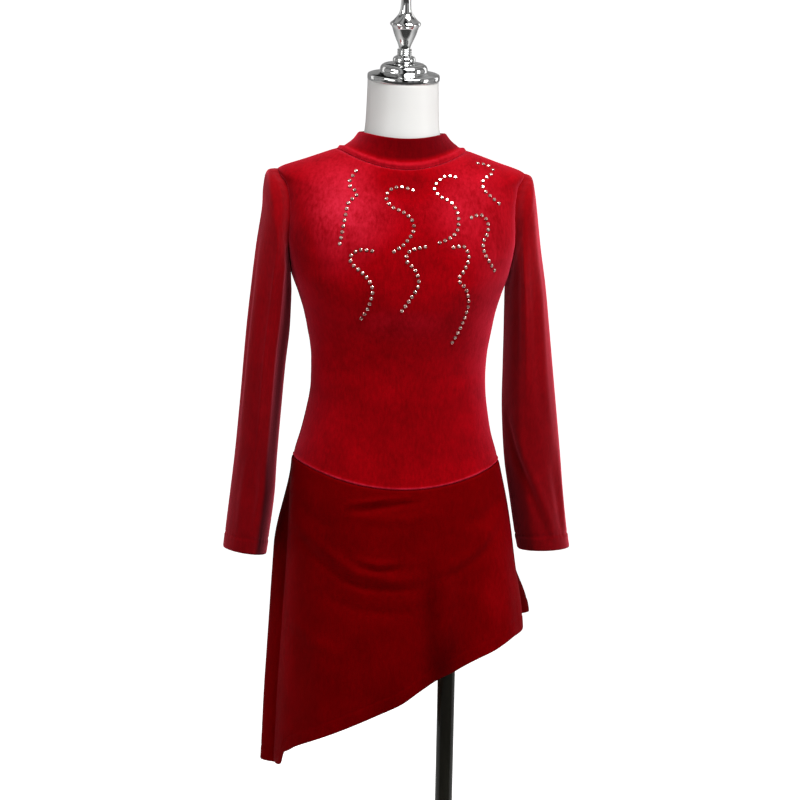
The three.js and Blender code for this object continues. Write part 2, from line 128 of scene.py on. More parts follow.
# the room: pale screens to both sides, with dark gaps between them and dark behind the camera, which
# the chrome shows as its bright and dark stripes
world = bpy.data.worlds.new("studio_room")
bpy.context.scene.world = world
world.use_nodes = True
room_way = add_node(world, "ShaderNodeSeparateXYZ", {}, {
    "Vector": add_node(world, "ShaderNodeTexCoord").outputs["Generated"]})
room_aside = add_node(world, "ShaderNodeMath", {"operation": "ABSOLUTE"}, {
    0: room_way.outputs["X"]})
room_tone = add_node(world, "ShaderNodeValToRGB", {}, {"Fac": room_aside.outputs["Value"]})
for place, tone in ((0.06, "#1C1C1C"), (0.13, "#202020"), (0.2, "#F4F4F4"), (0.36, "#E8E8E8"),
                    (0.42, "#383838"), (0.5, "#F0F0F0"), (0.66, "#C8C8C8"), (0.72, "#303030"),
                    (0.8, "#E0E0E0"), (0.9, "#505050"), (0.95, "#F0F0F0")):
    stop = room_tone.color_ramp.elements.new(place)
    stop.color = linear(tone)
room_tone.color_ramp.elements[0].color = linear("#181818")
room_tone.color_ramp.elements[-1].color = linear("#D8D8D8")
world.node_tree.links.new(room_tone.outputs["Color"],
                          world.node_tree.nodes["Background"].inputs["Color"])
world.node_tree.nodes["Background"].inputs["Strength"].default_value = 0.5

# seamless paper: matt white paper, lit from above so that it goes white behind the dress
paper = new_material("matt_backdrop_paper")
paper_place = add_node(paper, "ShaderNodeTexCoord")
paper_seen = add_node(paper, "ShaderNodeLightPath")
paper_grain = add_node(paper, "ShaderNodeTexNoise", {"Scale": per_metre(4.5), "Detail": 3.0}, {
    "Vector": paper_place.outputs["Object"]})
paper_tone = add_node(paper, "ShaderNodeValToRGB", {}, {"Fac": paper_grain.outputs["Fac"]})
paper_tone.color_ramp.elements[0].color = linear("#F8F8F8")
paper_tone.color_ramp.elements[1].color = linear("#FCFCFC")
paper_matt = add_node(paper, "ShaderNodeBsdfDiffuse", {"Roughness": 0.9}, {
    "Color": paper_tone.outputs["Color"]})
paper_light = add_node(paper, "ShaderNodeEmission", {}, {
    "Color": paper_tone.outputs["Color"],
    "Strength": add_node(paper, "ShaderNodeMath", {"operation": "MULTIPLY", 1: 0.82}, {
        0: paper_seen.outputs["Is Camera Ray"]}).outputs["Value"]})
paper_shader = add_node(paper, "ShaderNodeAddShader", {}, {
    0: paper_matt.outputs["BSDF"], 1: paper_light.outputs["Emission"]})
# in the chrome, the paper ends just before the stand, and the studio's dark floor lies beyond it
paper_way = add_node(paper, "ShaderNodeSeparateXYZ", {}, {"Vector": paper_place.outputs["Object"]})
paper_end = add_node(paper, "ShaderNodeMapRange", {
    "From Min": -0.8, "From Max": -0.45, "To Min": 1.0, "To Max": 0.0}, {
    "Value": paper_way.outputs["Y"]})
paper_dark = add_node(paper, "ShaderNodeMath", {"operation": "MULTIPLY"}, {
    0: paper_end.outputs["Result"], 1: paper_seen.outputs["Is Glossy Ray"]})
dark_floor = add_node(paper, "ShaderNodeEmission", {"Color": linear("#484848")})
paper_and_floor = add_node(paper, "ShaderNodeMixShader", {}, {
    0: paper_dark.outputs["Value"], 1: paper_shader.outputs["Shader"],
    2: dark_floor.outputs["Emission"]})
finish_material(paper, paper_and_floor)

bpy.ops.mesh.primitive_plane_add(size=1.0, location=(0, 0, 0))
floor = bpy.context.object
floor.name = "studio_floor"
sweep = bmesh.new()
paper_near, paper_bend, paper_far, paper_top, bend_radius = -6.0, 5.0, 7.0, 6.0, 2.0
sweep_path = [(paper_near, 0.0), (paper_bend, 0.0)]
for step in range(1, 13):
    turn = math.radians(step * 7.5)
    sweep_path.append((paper_bend + bend_radius * math.sin(turn),
                       bend_radius - bend_radius * math.cos(turn)))
sweep_path.append((paper_far, paper_top))
sweep_rows = [[sweep.verts.new((x, y, z)) for x in (-7.0, 7.0)] for y, z in sweep_path]
for low, high in zip(sweep_rows, sweep_rows[1:]):
    sweep.faces.new((low[0], low[1], high[1], high[0]))
sweep.to_mesh(floor.data)
sweep.free()
floor.data.shade_smooth()
floor.data.materials.clear()
floor.data.materials.append(paper)
bpy.ops.object.select_all(action="DESELECT")

# The body shape that the dress is cut to and the form is moulded to, in millimetres: rings from under
# the form to its neck. A ring's level is its height at the sides, and its front and back stand lower
# by their drops. The bodice, the brief, the sleeve heads and the form are all read from it.
# level, half width, shift in x, front, front drop, back, back drop, squareness
body_rings = [
    (771, 36, 0, 22, 0, 26, 0, 2.0),
    (776, 76, 0, 48, 0, 56, 0, 2.0),
    (790, 109, 0, 77, 0, 86, 0, 2.1),
    (815, 131, 0, 94, 0, 105, 0, 2.2),
    (850, 141, 0, 102, 4, 114, 2, 2.3),
    (895, 144, 0, 105.5, 18, 115.5, 12, 2.35),
    (938, 145, 0, 107, 35, 114, 23, 2.35),
    (977, 134.8, 0, 101, 30, 103, 16, 2.3),
    (1005, 129, 0.7, 96, 25, 93, 10, 2.3),
    (1034, 124.6, 1.5, 92, 20, 85, 5, 2.25),
    (1062, 123.8, 1.6, 90, 15, 82, 2, 2.25),
    (1091, 125.2, 2.0, 93, 12, 85, 0, 2.25),
    (1119, 130, 1.8, 101, 10, 91, 0, 2.3),
    (1147, 135.7, 1.2, 112, 9, 97, 0, 2.35),
    (1174, 144, 0.6, 118, 9, 102, 0, 2.45),
    (1198, 152.5, 0, 118, 9, 105, 0, 2.6),
    (1245, 164, 0, 110, 12, 106, 0, 2.75),
    (1290, 167, 0, 97, 17, 102, 0, 2.6),
    (1325, 172, 0, 86, 24, 90, 0, 2.2),
    (1344, 174, 0, 79, 29, 76, 0, 2.0),
    (1359, 135, 0, 72, 29, 66, 0, 2.0),
    (1374, 92, 0, 66, 29, 54, 2, 2.0),
    (1381, 72, 0, 61, 22, 50, 2, 2.0),
    (1388, 61.5, 0, 59, 14, 51, 0, 2.0),
    (1400, 57.5, 0, 58.5, 8, 52, 0, 2.0),
    (1430, 55.5, 0, 58, 6, 50, -4, 2.0),
    (1495, 54, 0, 60, 6, 47, -4, 2.0),
]
hip_level, armpit_level, shoulder_level, neck_level = 938.0, 1198.0, 1344.0, 1374.0
armhole_front, armhole_back = 46.0, 48.0
cloth_thickness = 1.5


def read_table(table, keys):
    """Smooth reading of a table by its first column, for one key or an array of them"""
    rows = np.array(table, float)
    keys = np.clip(np.atleast_1d(np.asarray(keys, float)), rows[0, 0], rows[-1, 0])
    i = np.clip(np.searchsorted(rows[:, 0], keys, side="right") - 1, 0, len(rows) - 2)
    before = np.vstack([rows[:1], rows[:-1]])
    after = np.vstack([rows[1:], rows[-1:]])
    slopes = (after - before) / (after[:, :1] - before[:, :1])
    step = (rows[i + 1, 0] - rows[i, 0])[:, None]
    t = (keys - rows[i, 0])[:, None] / step
    rise = rows[i + 1] - rows[i]
    bend = t * (1 - t) * ((1 - t) * (slopes[i] * step - rise) + t * (rise - slopes[i + 1] * step))
    return rows[i] + rise * t + bend


def ease(t):
    """A smooth step from 0 to 1"""
    t = np.clip(t, 0, 1)
    return t * t * (3 - 2 * t)


def body_points(level, side, face, turn):
    """Points of the body ring at a level; side 1 or -1 for +X or -X, face -1 front, 1 back"""
    _, half, shift, front, front_drop, back, back_drop, power = read_table(body_rings, level).T
    angle = turn * math.pi / 2
    depth = np.where(face < 0, front, back)
    drop = np.where(face < 0, front_drop, back_drop)
    across = np.maximum(np.cos(angle), 0) ** (2 / power)
    deep = np.sin(angle) ** (2 / power)
    return np.stack([shift + side * half * across, face * depth * deep,
                     level - drop * (1 - across * across)], axis=-1)


def turn_at_depth(level, face, depth):
    """The turn at which the body ring at a level is so deep"""
    row = read_table(body_rings, level)[0]
    reach = row[3] if face < 0 else row[5]
    return math.asin((depth / reach) ** (row[7] / 2)) * 2 / math.pi


def armhole_depth(level, face):
    """How deep the oval armhole reaches to the front or back at a level"""
    middle = (armpit_level + shoulder_level) / 2
    share = (level - middle) / (shoulder_level - middle)
    if abs(share) >= 1:
        return 0.0
    return (armhole_front if face < 0 else armhole_back) * math.sqrt(1 - share * share)


# Stretch velvet, the dress's one cloth: polyester and elastane, warp knitted, with a short cut pile that
# drinks light from the front and shines at each edge. Its three copies differ: the taut one on the form
# has the most sheen, the sleeves' one a greyer sheen, and the skirt's one little sheen and darker tones,
# which are painted shade.
def velvet_cloth(name, low_tone, high_tone, painted_sheen_tone, sheen, sheen_tone):
    """Velvet: mottled patches and brushed streaks of the pile, with light and shade painted in from each
    piece's attribute, and a pink painted sheen where that is light
    """
    velvet = new_material(name)
    place = add_node(velvet, "ShaderNodeTexCoord")
    patches = add_node(velvet, "ShaderNodeTexNoise", {
        "Scale": per_metre(45.5), "Detail": 5.0, "Roughness": 0.62}, {"Vector": place.outputs["Object"]})
    brushed = add_node(velvet, "ShaderNodeMapping", {"Scale": (1.0, 1.0, 0.35)}, {
        "Vector": place.outputs["Object"]})
    streaks = add_node(velvet, "ShaderNodeTexNoise", {
        "Scale": per_metre(3.85), "Detail": 4.0, "Roughness": 0.65}, {"Vector": brushed.outputs["Vector"]})
    summed = add_node(velvet, "ShaderNodeMath", {"operation": "ADD"}, {
        0: patches.outputs["Fac"], 1: streaks.outputs["Fac"]})
    halved = add_node(velvet, "ShaderNodeMath", {"operation": "MULTIPLY", 1: 0.5}, {
        0: summed.outputs["Value"]})
    tone = add_node(velvet, "ShaderNodeValToRGB", {}, {"Fac": halved.outputs["Value"]})
    tone.color_ramp.elements[0].position = 0.3
    tone.color_ramp.elements[0].color = linear(low_tone)
    tone.color_ramp.elements[1].position = 0.7
    tone.color_ramp.elements[1].color = linear(high_tone)
    # painted light and shade: each piece's attribute scales the tone lighter or darker, and where it is
    # light, broken by the streaks, it mixes in a pink tone as a painted sheen
    painted_shading = add_node(velvet, "ShaderNodeAttribute", {"attribute_name": "painted_shading"})
    wisps = add_node(velvet, "ShaderNodeMapRange", {
        "From Min": 0.38, "From Max": 0.62, "To Min": 0.3, "To Max": 1.7}, {
        "Value": halved.outputs["Value"]})
    streaked_painted_shading = add_node(velvet, "ShaderNodeMath", {"operation": "MULTIPLY"}, {
        0: painted_shading.outputs["Fac"], 1: wisps.outputs["Result"]})
    painted_shading_scale = add_node(velvet, "ShaderNodeMath", {"operation": "ADD", 1: 1.0}, {
        0: painted_shading.outputs["Fac"]})
    painted_shading_tone = add_node(velvet, "ShaderNodeVectorMath", {"operation": "SCALE"}, {
        0: tone.outputs["Color"], "Scale": painted_shading_scale.outputs["Value"]})
    painted_sheen_share = add_node(velvet, "ShaderNodeMapRange", {"To Max": 0.55}, {
        "Value": streaked_painted_shading.outputs["Value"]})
    painted_sheen_mix = add_node(velvet, "ShaderNodeMixRGB", {"Color2": linear(painted_sheen_tone)}, {
        "Color1": painted_shading_tone.outputs["Vector"], "Fac": painted_sheen_share.outputs["Result"]})
    # the pile's tufts are 0.3 mm apart, and drawn three times as coarse so that they show
    pile = add_node(velvet, "ShaderNodeTexNoise", {"Scale": per_metre(0.91), "Detail": 2.0}, {
        "Vector": place.outputs["Object"]})
    pile_bump = add_node(velvet, "ShaderNodeBump", {"Strength": 0.35, "Distance": 0.0006}, {
        "Height": pile.outputs["Fac"]})
    nap_bump = add_node(velvet, "ShaderNodeBump", {"Strength": 0.2, "Distance": 0.0012}, {
        "Height": streaks.outputs["Fac"], "Normal": pile_bump.outputs["Normal"]})
    shader = add_node(velvet, "ShaderNodeBsdfPrincipled", {
        "Roughness": 0.7, "IOR": 1.45, "Specular IOR Level": 0.02,
        "Specular Tint": linear("#FF3450"), "Sheen Weight": sheen, "Sheen Roughness": 0.45,
        "Sheen Tint": linear(sheen_tone)}, {
        "Base Color": painted_sheen_mix.outputs["Color"], "Normal": nap_bump.outputs["Normal"]})
    finish_material(velvet, shader)
    return velvet


velvet_taut = velvet_cloth(
    "stretch_velvet_taut", "#640002", "#920007", "#C0304A", 0.62, "#FF4862")
velvet_folded = velvet_cloth(
    "stretch_velvet_folded", "#6C0206", "#90040C", "#C0304A", 0.7, "#FF6074")
# the skirt's copy: its darker tones are painted shade
velvet_loose_shaded = velvet_cloth(
    "stretch_velvet_loose_shaded", "#540001", "#6C0002", "#A00410", 0.06, "#FF3A5A")


def row_normals(points, closed):
    """Outward normals of a grid of points: rows run round the body, columns up it"""
    if closed:
        along = np.roll(points, -1, axis=1) - np.roll(points, 1, axis=1)
    else:
        along = np.gradient(points, axis=1, edge_order=2)
    up = np.gradient(points, axis=0, edge_order=2)
    normals = np.cross(along, up)
    return normals / np.maximum(np.linalg.norm(normals, axis=2, keepdims=True), 1e-9)


def turn_at_sides(grid, normals, reach):
    """Turns a panel's normals straight out at its side seams, so both panels dip there together"""
    to_side = np.minimum(
        np.linalg.norm(grid - grid[:, :1], axis=2), np.linalg.norm(grid - grid[:, -1:], axis=2))
    share = np.exp(-(to_side / reach) ** 2)[..., None]
    outward = np.sign(grid[..., :1]) * np.array([1.0, 0.0, 0.0])
    turned = normals * (1 - share) + outward * share
    return to_side, turned / np.linalg.norm(turned, axis=2, keepdims=True)


def fold_heights(places, folds):
    """Soft folds on a flat map: each is (half width, height, line of points), all in mm"""
    heights = np.zeros(places.shape[:-1])
    for half_width, height, line in folds:
        line = np.array(line, float)
        lengths = np.linalg.norm(np.diff(line, axis=0), axis=1)
        total = lengths.sum()
        nearest = np.full(heights.shape, 1e9)
        share = np.zeros(heights.shape)
        walked = 0.0
        for start, end, length in zip(line, line[1:], lengths):
            t = np.clip(((places - start) @ (end - start)) / (length * length), 0, 1)
            away = np.linalg.norm(places - (start + t[..., None] * (end - start)), axis=-1)
            closer = away < nearest
            nearest = np.where(closer, away, nearest)
            share = np.where(closer, (walked + t * length) / total, share)
            walked += length
        taper = np.sin(math.pi * np.clip(share, 0, 1)) ** 0.6
        heights += height * taper * np.exp(-(nearest / half_width) ** 2)
    return heights


def painted_shading_patches(points, patches):
    """Patches of painted light and shade on a grid of points in mm"""
    painted_shading = np.zeros(points.shape[:2])
    for x, height, half_width, half_height, amount in patches:
        painted_shading += amount * np.exp(-((points[..., 0] - x) / half_width) ** 2
                               - ((points[..., 2] - height) / half_height) ** 2)
    return painted_shading


def seam_dip(away, depth=0.9, half_width=2.2):
    """How far a panel is pulled in beside a seam, with away the distance from it in mm"""
    return -depth * np.exp(-(away / half_width) ** 2)


def select_only(piece):
    bpy.ops.object.select_all(action="DESELECT")
    piece.select_set(True)
    bpy.context.view_layer.objects.active = piece


def apply_modifier(piece, kind, **settings):
    """Adds a modifier of a kind to a piece and applies it"""
    bpy.context.view_layer.objects.active = piece
    modifier = piece.modifiers.new(kind.lower(), kind)
    for key, value in settings.items():
        setattr(modifier, key, value)
    bpy.ops.object.modifier_apply(modifier=modifier.name)


def finish_piece(piece, material, node):
    """Gives a piece its material and lets it stand for its node of the frame"""
    piece.data.materials.clear()
    piece.data.materials.append(material)
    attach(piece, "root")
    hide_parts(node)
    return piece


def cloth_piece(name, points, painted_shading, closed, cloth, node):
    """Makes the cloth shell that stands for a node, from a grid of outer points in mm and its painted
    light and shade
    """
    high, wide = points.shape[:2]
    mesh = bpy.data.meshes.new(name)
    faces = []
    columns = wide if closed else wide - 1
    for j in range(high - 1):
        for i in range(columns):
            k = (i + 1) % wide
            faces.append((j * wide + i, j * wide + k, (j + 1) * wide + k, (j + 1) * wide + i))
    mesh.from_pydata((points.reshape(-1, 3) / 1000).tolist(), [], faces)
    across = np.linalg.norm(np.diff(points, axis=1), axis=2).cumsum(axis=1)
    across = np.hstack([np.zeros((high, 1)), across]) / 1000
    up = np.linalg.norm(np.diff(points, axis=0), axis=2).cumsum(axis=0)
    up = np.vstack([np.zeros((1, wide)), up]) / 1000
    layer = mesh.uv_layers.new(name="cut")
    seam_width = across[0, -1] + np.linalg.norm(points[0, 0] - points[0, -1]) / 1000
    for polygon in mesh.polygons:
        for loop in polygon.loop_indices:
            vertex = mesh.loops[loop].vertex_index
            j, i = divmod(vertex, wide)
            first = polygon.vertices[0] % wide
            u = seam_width if closed and first == wide - 1 and i == 0 else across[j, i]
            layer.data[loop].uv = (u, up[j, i])
    painted_shading_layer = mesh.attributes.new("painted_shading", "FLOAT", "POINT")
    painted_shading_layer.data.foreach_set("value", painted_shading.ravel().astype(np.float32))
    mesh.shade_smooth()
    piece = bpy.data.objects.new(name, mesh)
    bpy.context.collection.objects.link(piece)
    apply_modifier(piece, "SOLIDIFY", thickness=cloth_thickness / 1000, offset=-1.0)
    return finish_piece(piece, cloth, node)


# Bodice: a front and a back panel of stretch velvet with no dart, pulled smooth over the form.
# They are sewn at the sides and shoulders, and overlocked to the collar, sleeves and skirt, so the
# cloth dips at each seam; it strains in small drag lines at the armholes, waist and hip.
panel_columns = 75
least_edge = 0.03
# how far from a side seam the folds have faded in, and how far the cloth turns straight out
side_fade, side_turn = 12.0, 5.0
# rows just above the hip seam, where the bodice rolls over its overlocked edge
hip_rows = [0.02, 0.7, 1.4, 2.1, 2.8, 3.6, 4.6, 6.2, 8.4]
rows_below_armhole, rows_beside_armhole, rows_on_shoulder = 64, 58, 14


def panel_grid(keys, face, point_at, edge_turn):
    """Rows of a front or back panel, a row for each key, from one side seam to the other"""
    across = np.linspace(-1, 1, 2 * panel_columns + 1)
    side = np.where(across * face > 0, -1.0, 1.0)
    rows = []
    for key in keys:
        edge = edge_turn(key)
        rows.append(point_at(key, side, face, edge + (1 - edge) * (1 - np.abs(across))))
    return np.array(rows)


def bodice_levels():
    """Heights of a bodice panel's rows, from the hip seam to the neck seam, just clear of both"""
    low = np.concatenate([hip_level + np.array(hip_rows), np.linspace(
        hip_level + 11.5, armpit_level, rows_below_armhole + 1)[:-1]])
    turn = np.linspace(0, math.pi, rows_beside_armhole + 1)
    middle = armpit_level + (shoulder_level - armpit_level) * (1 - np.cos(turn)) / 2
    high = np.linspace(shoulder_level, neck_level - 0.03, rows_on_shoulder + 1)[1:]
    return np.concatenate([low, middle, high])


# folds: half width, height, line of points across and up the panel
front_folds = [
    (9, -0.9, [(-142, 1212), (-120, 1206), (-92, 1208)]),
    (8, 0.8, [(-143, 1226), (-118, 1221), (-96, 1224)]),
    (9, -0.8, [(143, 1214), (124, 1208), (98, 1212)]),
    (8, 0.7, [(144, 1228), (122, 1224), (102, 1228)]),
    (12, -0.8, [(-150, 1262), (-128, 1240), (-112, 1208)]),
    (12, -0.8, [(150, 1262), (130, 1240), (114, 1210)]),
    (10, -0.9, [(-122, 1068), (-96, 1062), (-60, 1066)]),
    (9, 0.7, [(-121, 1050), (-92, 1046), (-64, 1052)]),
    (10, -0.8, [(125, 1066), (98, 1060), (66, 1064)]),
    (9, 0.7, [(124, 1048), (96, 1043), (70, 1048)]),
    (12, 0.9, [(-132, 966), (-90, 946), (-40, 936), (10, 934)]),
    (10, -0.8, [(134, 962), (96, 944), (48, 934)]),
    (14, 0.8, [(-60, 918), (-20, 914), (26, 914), (60, 922)]),
    (13, -0.8, [(-120, 1330), (-100, 1300), (-92, 1262)]),
    (13, -0.8, [(122, 1332), (104, 1302), (96, 1264)]),
]
back_folds = [
    (9, -0.9, [(-142, 1216), (-118, 1208), (-90, 1206)]),
    (9, -0.9, [(142, 1216), (120, 1209), (94, 1208)]),
    (12, 0.8, [(-148, 1262), (-126, 1236), (-108, 1204)]),
    (12, 0.8, [(148, 1262), (128, 1238), (110, 1206)]),
    (11, -1.2, [(-118, 1078), (-72, 1066), (-20, 1064), (34, 1068)]),
    (10, 1.0, [(-90, 1054), (-30, 1046), (42, 1048), (92, 1056)]),
    (11, -1.1, [(120, 1040), (70, 1030), (10, 1030), (-40, 1036)]),
    (12, 0.9, [(-128, 1000), (-80, 1004), (-24, 1012)]),
    (12, -0.8, [(130, 980), (82, 972), (30, 974)]),
    (14, -0.9, [(-70, 1330), (-62, 1270), (-66, 1214)]),
    (14, -0.9, [(74, 1328), (66, 1268), (70, 1212)]),
]


def bodice_panel(face, folds, patches):
    """Points of the bodice's front (face -1) or back (face 1), and their painted light and shade"""
    grid = panel_grid(bodice_levels(), face, body_points, lambda level: turn_at_depth(
        level, face, max(armhole_depth(level, face), least_edge)))
    to_side, normals = turn_at_sides(grid, row_normals(grid, False), side_turn)
    lift = fold_heights(grid[..., [0, 2]], folds) * ease(to_side / side_fade)
    # 1 beside the armholes, 0 beside the side and shoulder seams
    armhole = ease((grid[..., 2] - armpit_level + 15) / 30) \
        * ease((shoulder_level + 5 - grid[..., 2]) / 20)
    lift += seam_dip(to_side, 0.9 - 0.6 * armhole) - 1.0 * armhole * np.exp(-(to_side / 9) ** 2)
    lift += 0.2 * np.sin(grid[..., 2] / 3.4) * np.exp(-(to_side / 6) ** 2)
    to_neck = np.linalg.norm(grid - grid[-1:], axis=2)
    lift += seam_dip(to_neck, 0.8)
    # the hip seam: a dip, the rolled edge over it, and the puckers that the stitches pull
    to_hip = np.linalg.norm(grid - grid[:1], axis=2)
    pucker = 0.22 * np.sin(grid[..., 0] / 3.7 + 1.3 * np.sin(grid[..., 0] / 23))
    lift += seam_dip(to_hip, 0.8, 1.2) + 1.4 * np.exp(-((to_hip - 2.8) / 1.7) ** 2)
    lift += pucker * np.exp(-(to_hip / 7) ** 2)
    # painted light and shade in patches, and a painted highlight along the rolled edge over the hip seam
    painted_shading = painted_shading_patches(grid, patches) + 0.8 * np.exp(-((to_hip - 2.2) / 1.0) ** 2)
    return grid + normals * lift[..., None], painted_shading


# patches of painted light and shade: x, height, half width, half height, how much lighter or darker
front_painted_shading = [
    (-84, 1290, 46, 56, 0.5),
    (86, 1296, 46, 56, 0.22),
    (-150, 1230, 20, 60, -0.3),
    (0, 1326, 48, 18, -0.16),
    (10, 1190, 60, 50, -0.12),
    (0, 1140, 60, 24, 0.12),
    (0, 990, 80, 46, -0.22),
    (128, 1100, 26, 120, 0.25),
]
back_painted_shading = [
    (-70, 1280, 55, 60, 0.3),
    (60, 1250, 60, 70, 0.2),
    (0, 1100, 80, 60, -0.2),
    (10, 980, 80, 40, 0.1),
]


bodice_front = cloth_piece("bodice_front_velvet", *bodice_panel(-1, front_folds, front_painted_shading),
                           False, velvet_taut, "bodice_front")
bodice_back = cloth_piece("bodice_back_velvet", *bodice_panel(1, back_folds, back_painted_shading),
                          False, velvet_taut, "bodice_back")

# Collar: a mock neck, one band of the same velvet cut on the stretch and folded double.
# Its fold is the top edge, so that edge is round; it flares down to the neck seam and stands a few
# millimetres off the form's neck.
# share of the height, half width, front, front height, back, back height, side height
collar_rings = [
    (0, 92, 66, 1345, 54, 1372, 1374),
    (0.35, 78, 62.5, 1356.5, 54.5, 1381, 1380.5),
    (0.65, 69, 60.5, 1370, 56.5, 1389, 1387.5),
    (1, 61, 59.5, 1388, 58, 1401, 1398),
]


collar_columns, collar_rows = 160, 26


def collar_grid():
    """Points of the collar and its painted light and shade, rows from the neck seam to the top edge"""
    rows = []
    angle = np.arange(collar_columns) / collar_columns * 2 * math.pi
    deep = np.sin(angle)
    for share in np.linspace(0, 1, collar_rows):
        _, half, front, front_height, back, back_height, side_height = \
            read_table(collar_rings, share)[0]
        height = side_height + (np.where(deep < 0, front_height, back_height) - side_height) \
            * deep * deep + 0.05 * (share == 0)
        rows.append(np.stack([half * np.cos(angle),
                              deep * np.where(deep < 0, front, back), height], axis=-1))
    grid = np.array(rows)
    to_seam = np.linalg.norm(grid - grid[:1], axis=2)
    to_top = np.linalg.norm(grid - grid[-1:], axis=2)
    # the neck seam's dip, the roll of the band over it, and the round fold at the top edge
    lift = seam_dip(to_seam, 0.8) - 0.9 * np.exp(-(to_top / 1.4) ** 2)
    lift += 1.9 * np.exp(-((to_seam - 5.5) / 2.6) ** 2) - 0.7 * np.exp(-((to_seam - 12) / 3.5) ** 2)
    # five slack waves below the top edge, and the seam's puckers
    lift += 0.5 * np.sin(angle * 5 + 0.8)[None, :] * np.exp(-((to_top - 16) / 12) ** 2)
    lift += 0.25 * np.sin(angle * 46)[None, :] * np.exp(-(to_seam / 6) ** 2)
    # painted shade: the band darker above its roll toward the top edge, less so toward -X; a little
    # lighter by the seam
    painted_shading = 0.12 - 0.75 * ease((to_seam - 9) / 9) * (1 - 0.5 * np.maximum(-np.cos(angle), 0))[None, :]
    return grid + row_normals(grid, True) * lift[..., None], painted_shading


collar = cloth_piece("collar_velvet", *collar_grid(), True, velvet_taut, "collar")

# Sleeves: long set-in sleeves, empty, one seam under the arm and a double-turned hem at the cuff.
# The head is eased into the armhole; below it the velvet hangs in long soft ridges that end in a few
# oblique troughs over the elbow and cuff.
# outer x, outer height, inner x, inner height, half depth, middle in y
sleeve_left_rings = [
    (185, 1338, 152.6, 1190, 50, 1),
    (190, 1315, 152.0, 1182, 51.5, 1),
    (193.5, 1290, 151.5, 1172, 52, 1),
    (200, 1240, 151.2, 1150, 51, 0),
    (208.5, 1185, 151.0, 1115, 49, -1),
    (216, 1120, 150.6, 1068, 47.5, -2),
    (225.5, 1035, 150.6, 1010, 46.5, -3),
    (235, 950, 155.5, 940, 46, -4),
    (241, 890, 164.2, 885, 45, -5),
    (247.2, 840, 172.4, 836, 44, -6),
    (251.4, 814, 178.0, 810, 43.5, -6),
]
sleeve_right_rings = [
    (189, 1340, 152.6, 1190, 50, 1),
    (194, 1318, 152.0, 1182, 51.5, 1),
    (195.5, 1287, 151.6, 1172, 52, 1),
    (202.5, 1238, 152.0, 1150, 51, 0),
    (208.8, 1180, 153.5, 1115, 49, -1),
    (215, 1115, 158.5, 1068, 47.5, -2),
    (221.5, 1025, 163.2, 1008, 46.5, -3),
    (228, 945, 168.2, 938, 46, -4),
    (234, 888, 171.0, 884, 45, -5),
    (239.6, 837, 177.4, 831, 44, -6),
    (242.4, 809, 181.6, 800, 43.5, -6),
]
# folds of a sleeve on its flat map: degrees round from the outside by the front, height in mm
sleeve_left_folds = [
    (2.6, 2.0, [(98, 1312), (97, 1250), (98, 1160), (100, 1080), (104, 1020)]),
    (9, -3.4, [(124, 1300), (122, 1200), (124, 1110), (120, 1010)]),
    (7, 1.8, [(56, 1310), (52, 1180), (56, 1060), (50, 950)]),
    (8, -2.0, [(76, 1300), (76, 1180), (78, 1080), (74, 1000)]),
    (6, -4.0, [(158, 1010), (136, 950), (112, 902), (96, 862), (86, 820)]),
    (6, 2.8, [(138, 1010), (116, 950), (94, 902), (78, 862), (68, 824)]),
    (7, -2.2, [(58, 940), (48, 880), (44, 830)]),
    (6, 1.8, [(34, 960), (30, 880), (34, 824)]),
    (12, -2.4, [(250, 1270), (262, 1160), (256, 1050)]),
    (11, 2.2, [(290, 1290), (300, 1180), (296, 1060), (302, 980)]),
    (7, -2.8, [(226, 970), (250, 920), (276, 884), (292, 838)]),
    (7, 2.2, [(206, 960), (232, 904), (258, 866)]),
    (9, -2.0, [(318, 1030), (326, 940), (322, 860)]),
]
sleeve_right_folds = [
    (2.6, 2.2, [(86, 1318), (88, 1200), (86, 1080), (88, 980), (86, 890)]),
    (8, -1.8, [(68, 1300), (70, 1180), (68, 1060), (72, 940)]),
    (3.4, 1.6, [(112, 1316), (114, 1200), (113, 1100), (115, 1000), (117, 920)]),
    (11, -3.2, [(136, 1320), (138, 1210), (136, 1090), (136, 980), (136, 890)]),
    (7, 1.8, [(40, 1290), (42, 1150), (38, 1000), (42, 890)]),
    (6, -1.8, [(22, 1250), (24, 1120), (20, 990)]),
    (6, -2.6, [(102, 950), (106, 890), (100, 830)]),
    (6, 1.8, [(62, 940), (60, 880), (64, 826)]),
    (12, -2.4, [(248, 1260), (258, 1150), (254, 1030)]),
    (11, 2.2, [(286, 1280), (296, 1170), (292, 1040)]),
    (7, -2.6, [(222, 980), (246, 924), (272, 888), (288, 846)]),
    (8, 2.0, [(308, 1020), (320, 930), (314, 850)]),
]


sleeve_columns, head_rows, sleeve_rows = 128, 32, 120
# the hem of a sleeve or skirt is turned up so far and stitched there
sleeve_hem, skirt_hem = 21.0, 20.0
# mm round a sleeve for each degree of its flat map, and for each radian under the arm
girth_per_degree, under_radius = 0.65, 35.0


def armhole_edge(side):
    """Points round a sleeve's armhole seam, from the shoulder by one face to the armpit and back"""
    edge = []
    for turn in np.arange(sleeve_columns) / sleeve_columns * 2 * math.pi:
        level = armpit_level + (shoulder_level - armpit_level) * (1 + math.cos(turn)) / 2
        face = 1 if math.sin(turn) * side > 0 else -1
        depth = max(armhole_depth(level, face), 0.01)
        point = body_points(level, side, face, np.array([turn_at_depth(level, face, depth)]))[0]
        edge.append(point + np.array([side * 0.4, 0, 0]))
    return np.array(edge)


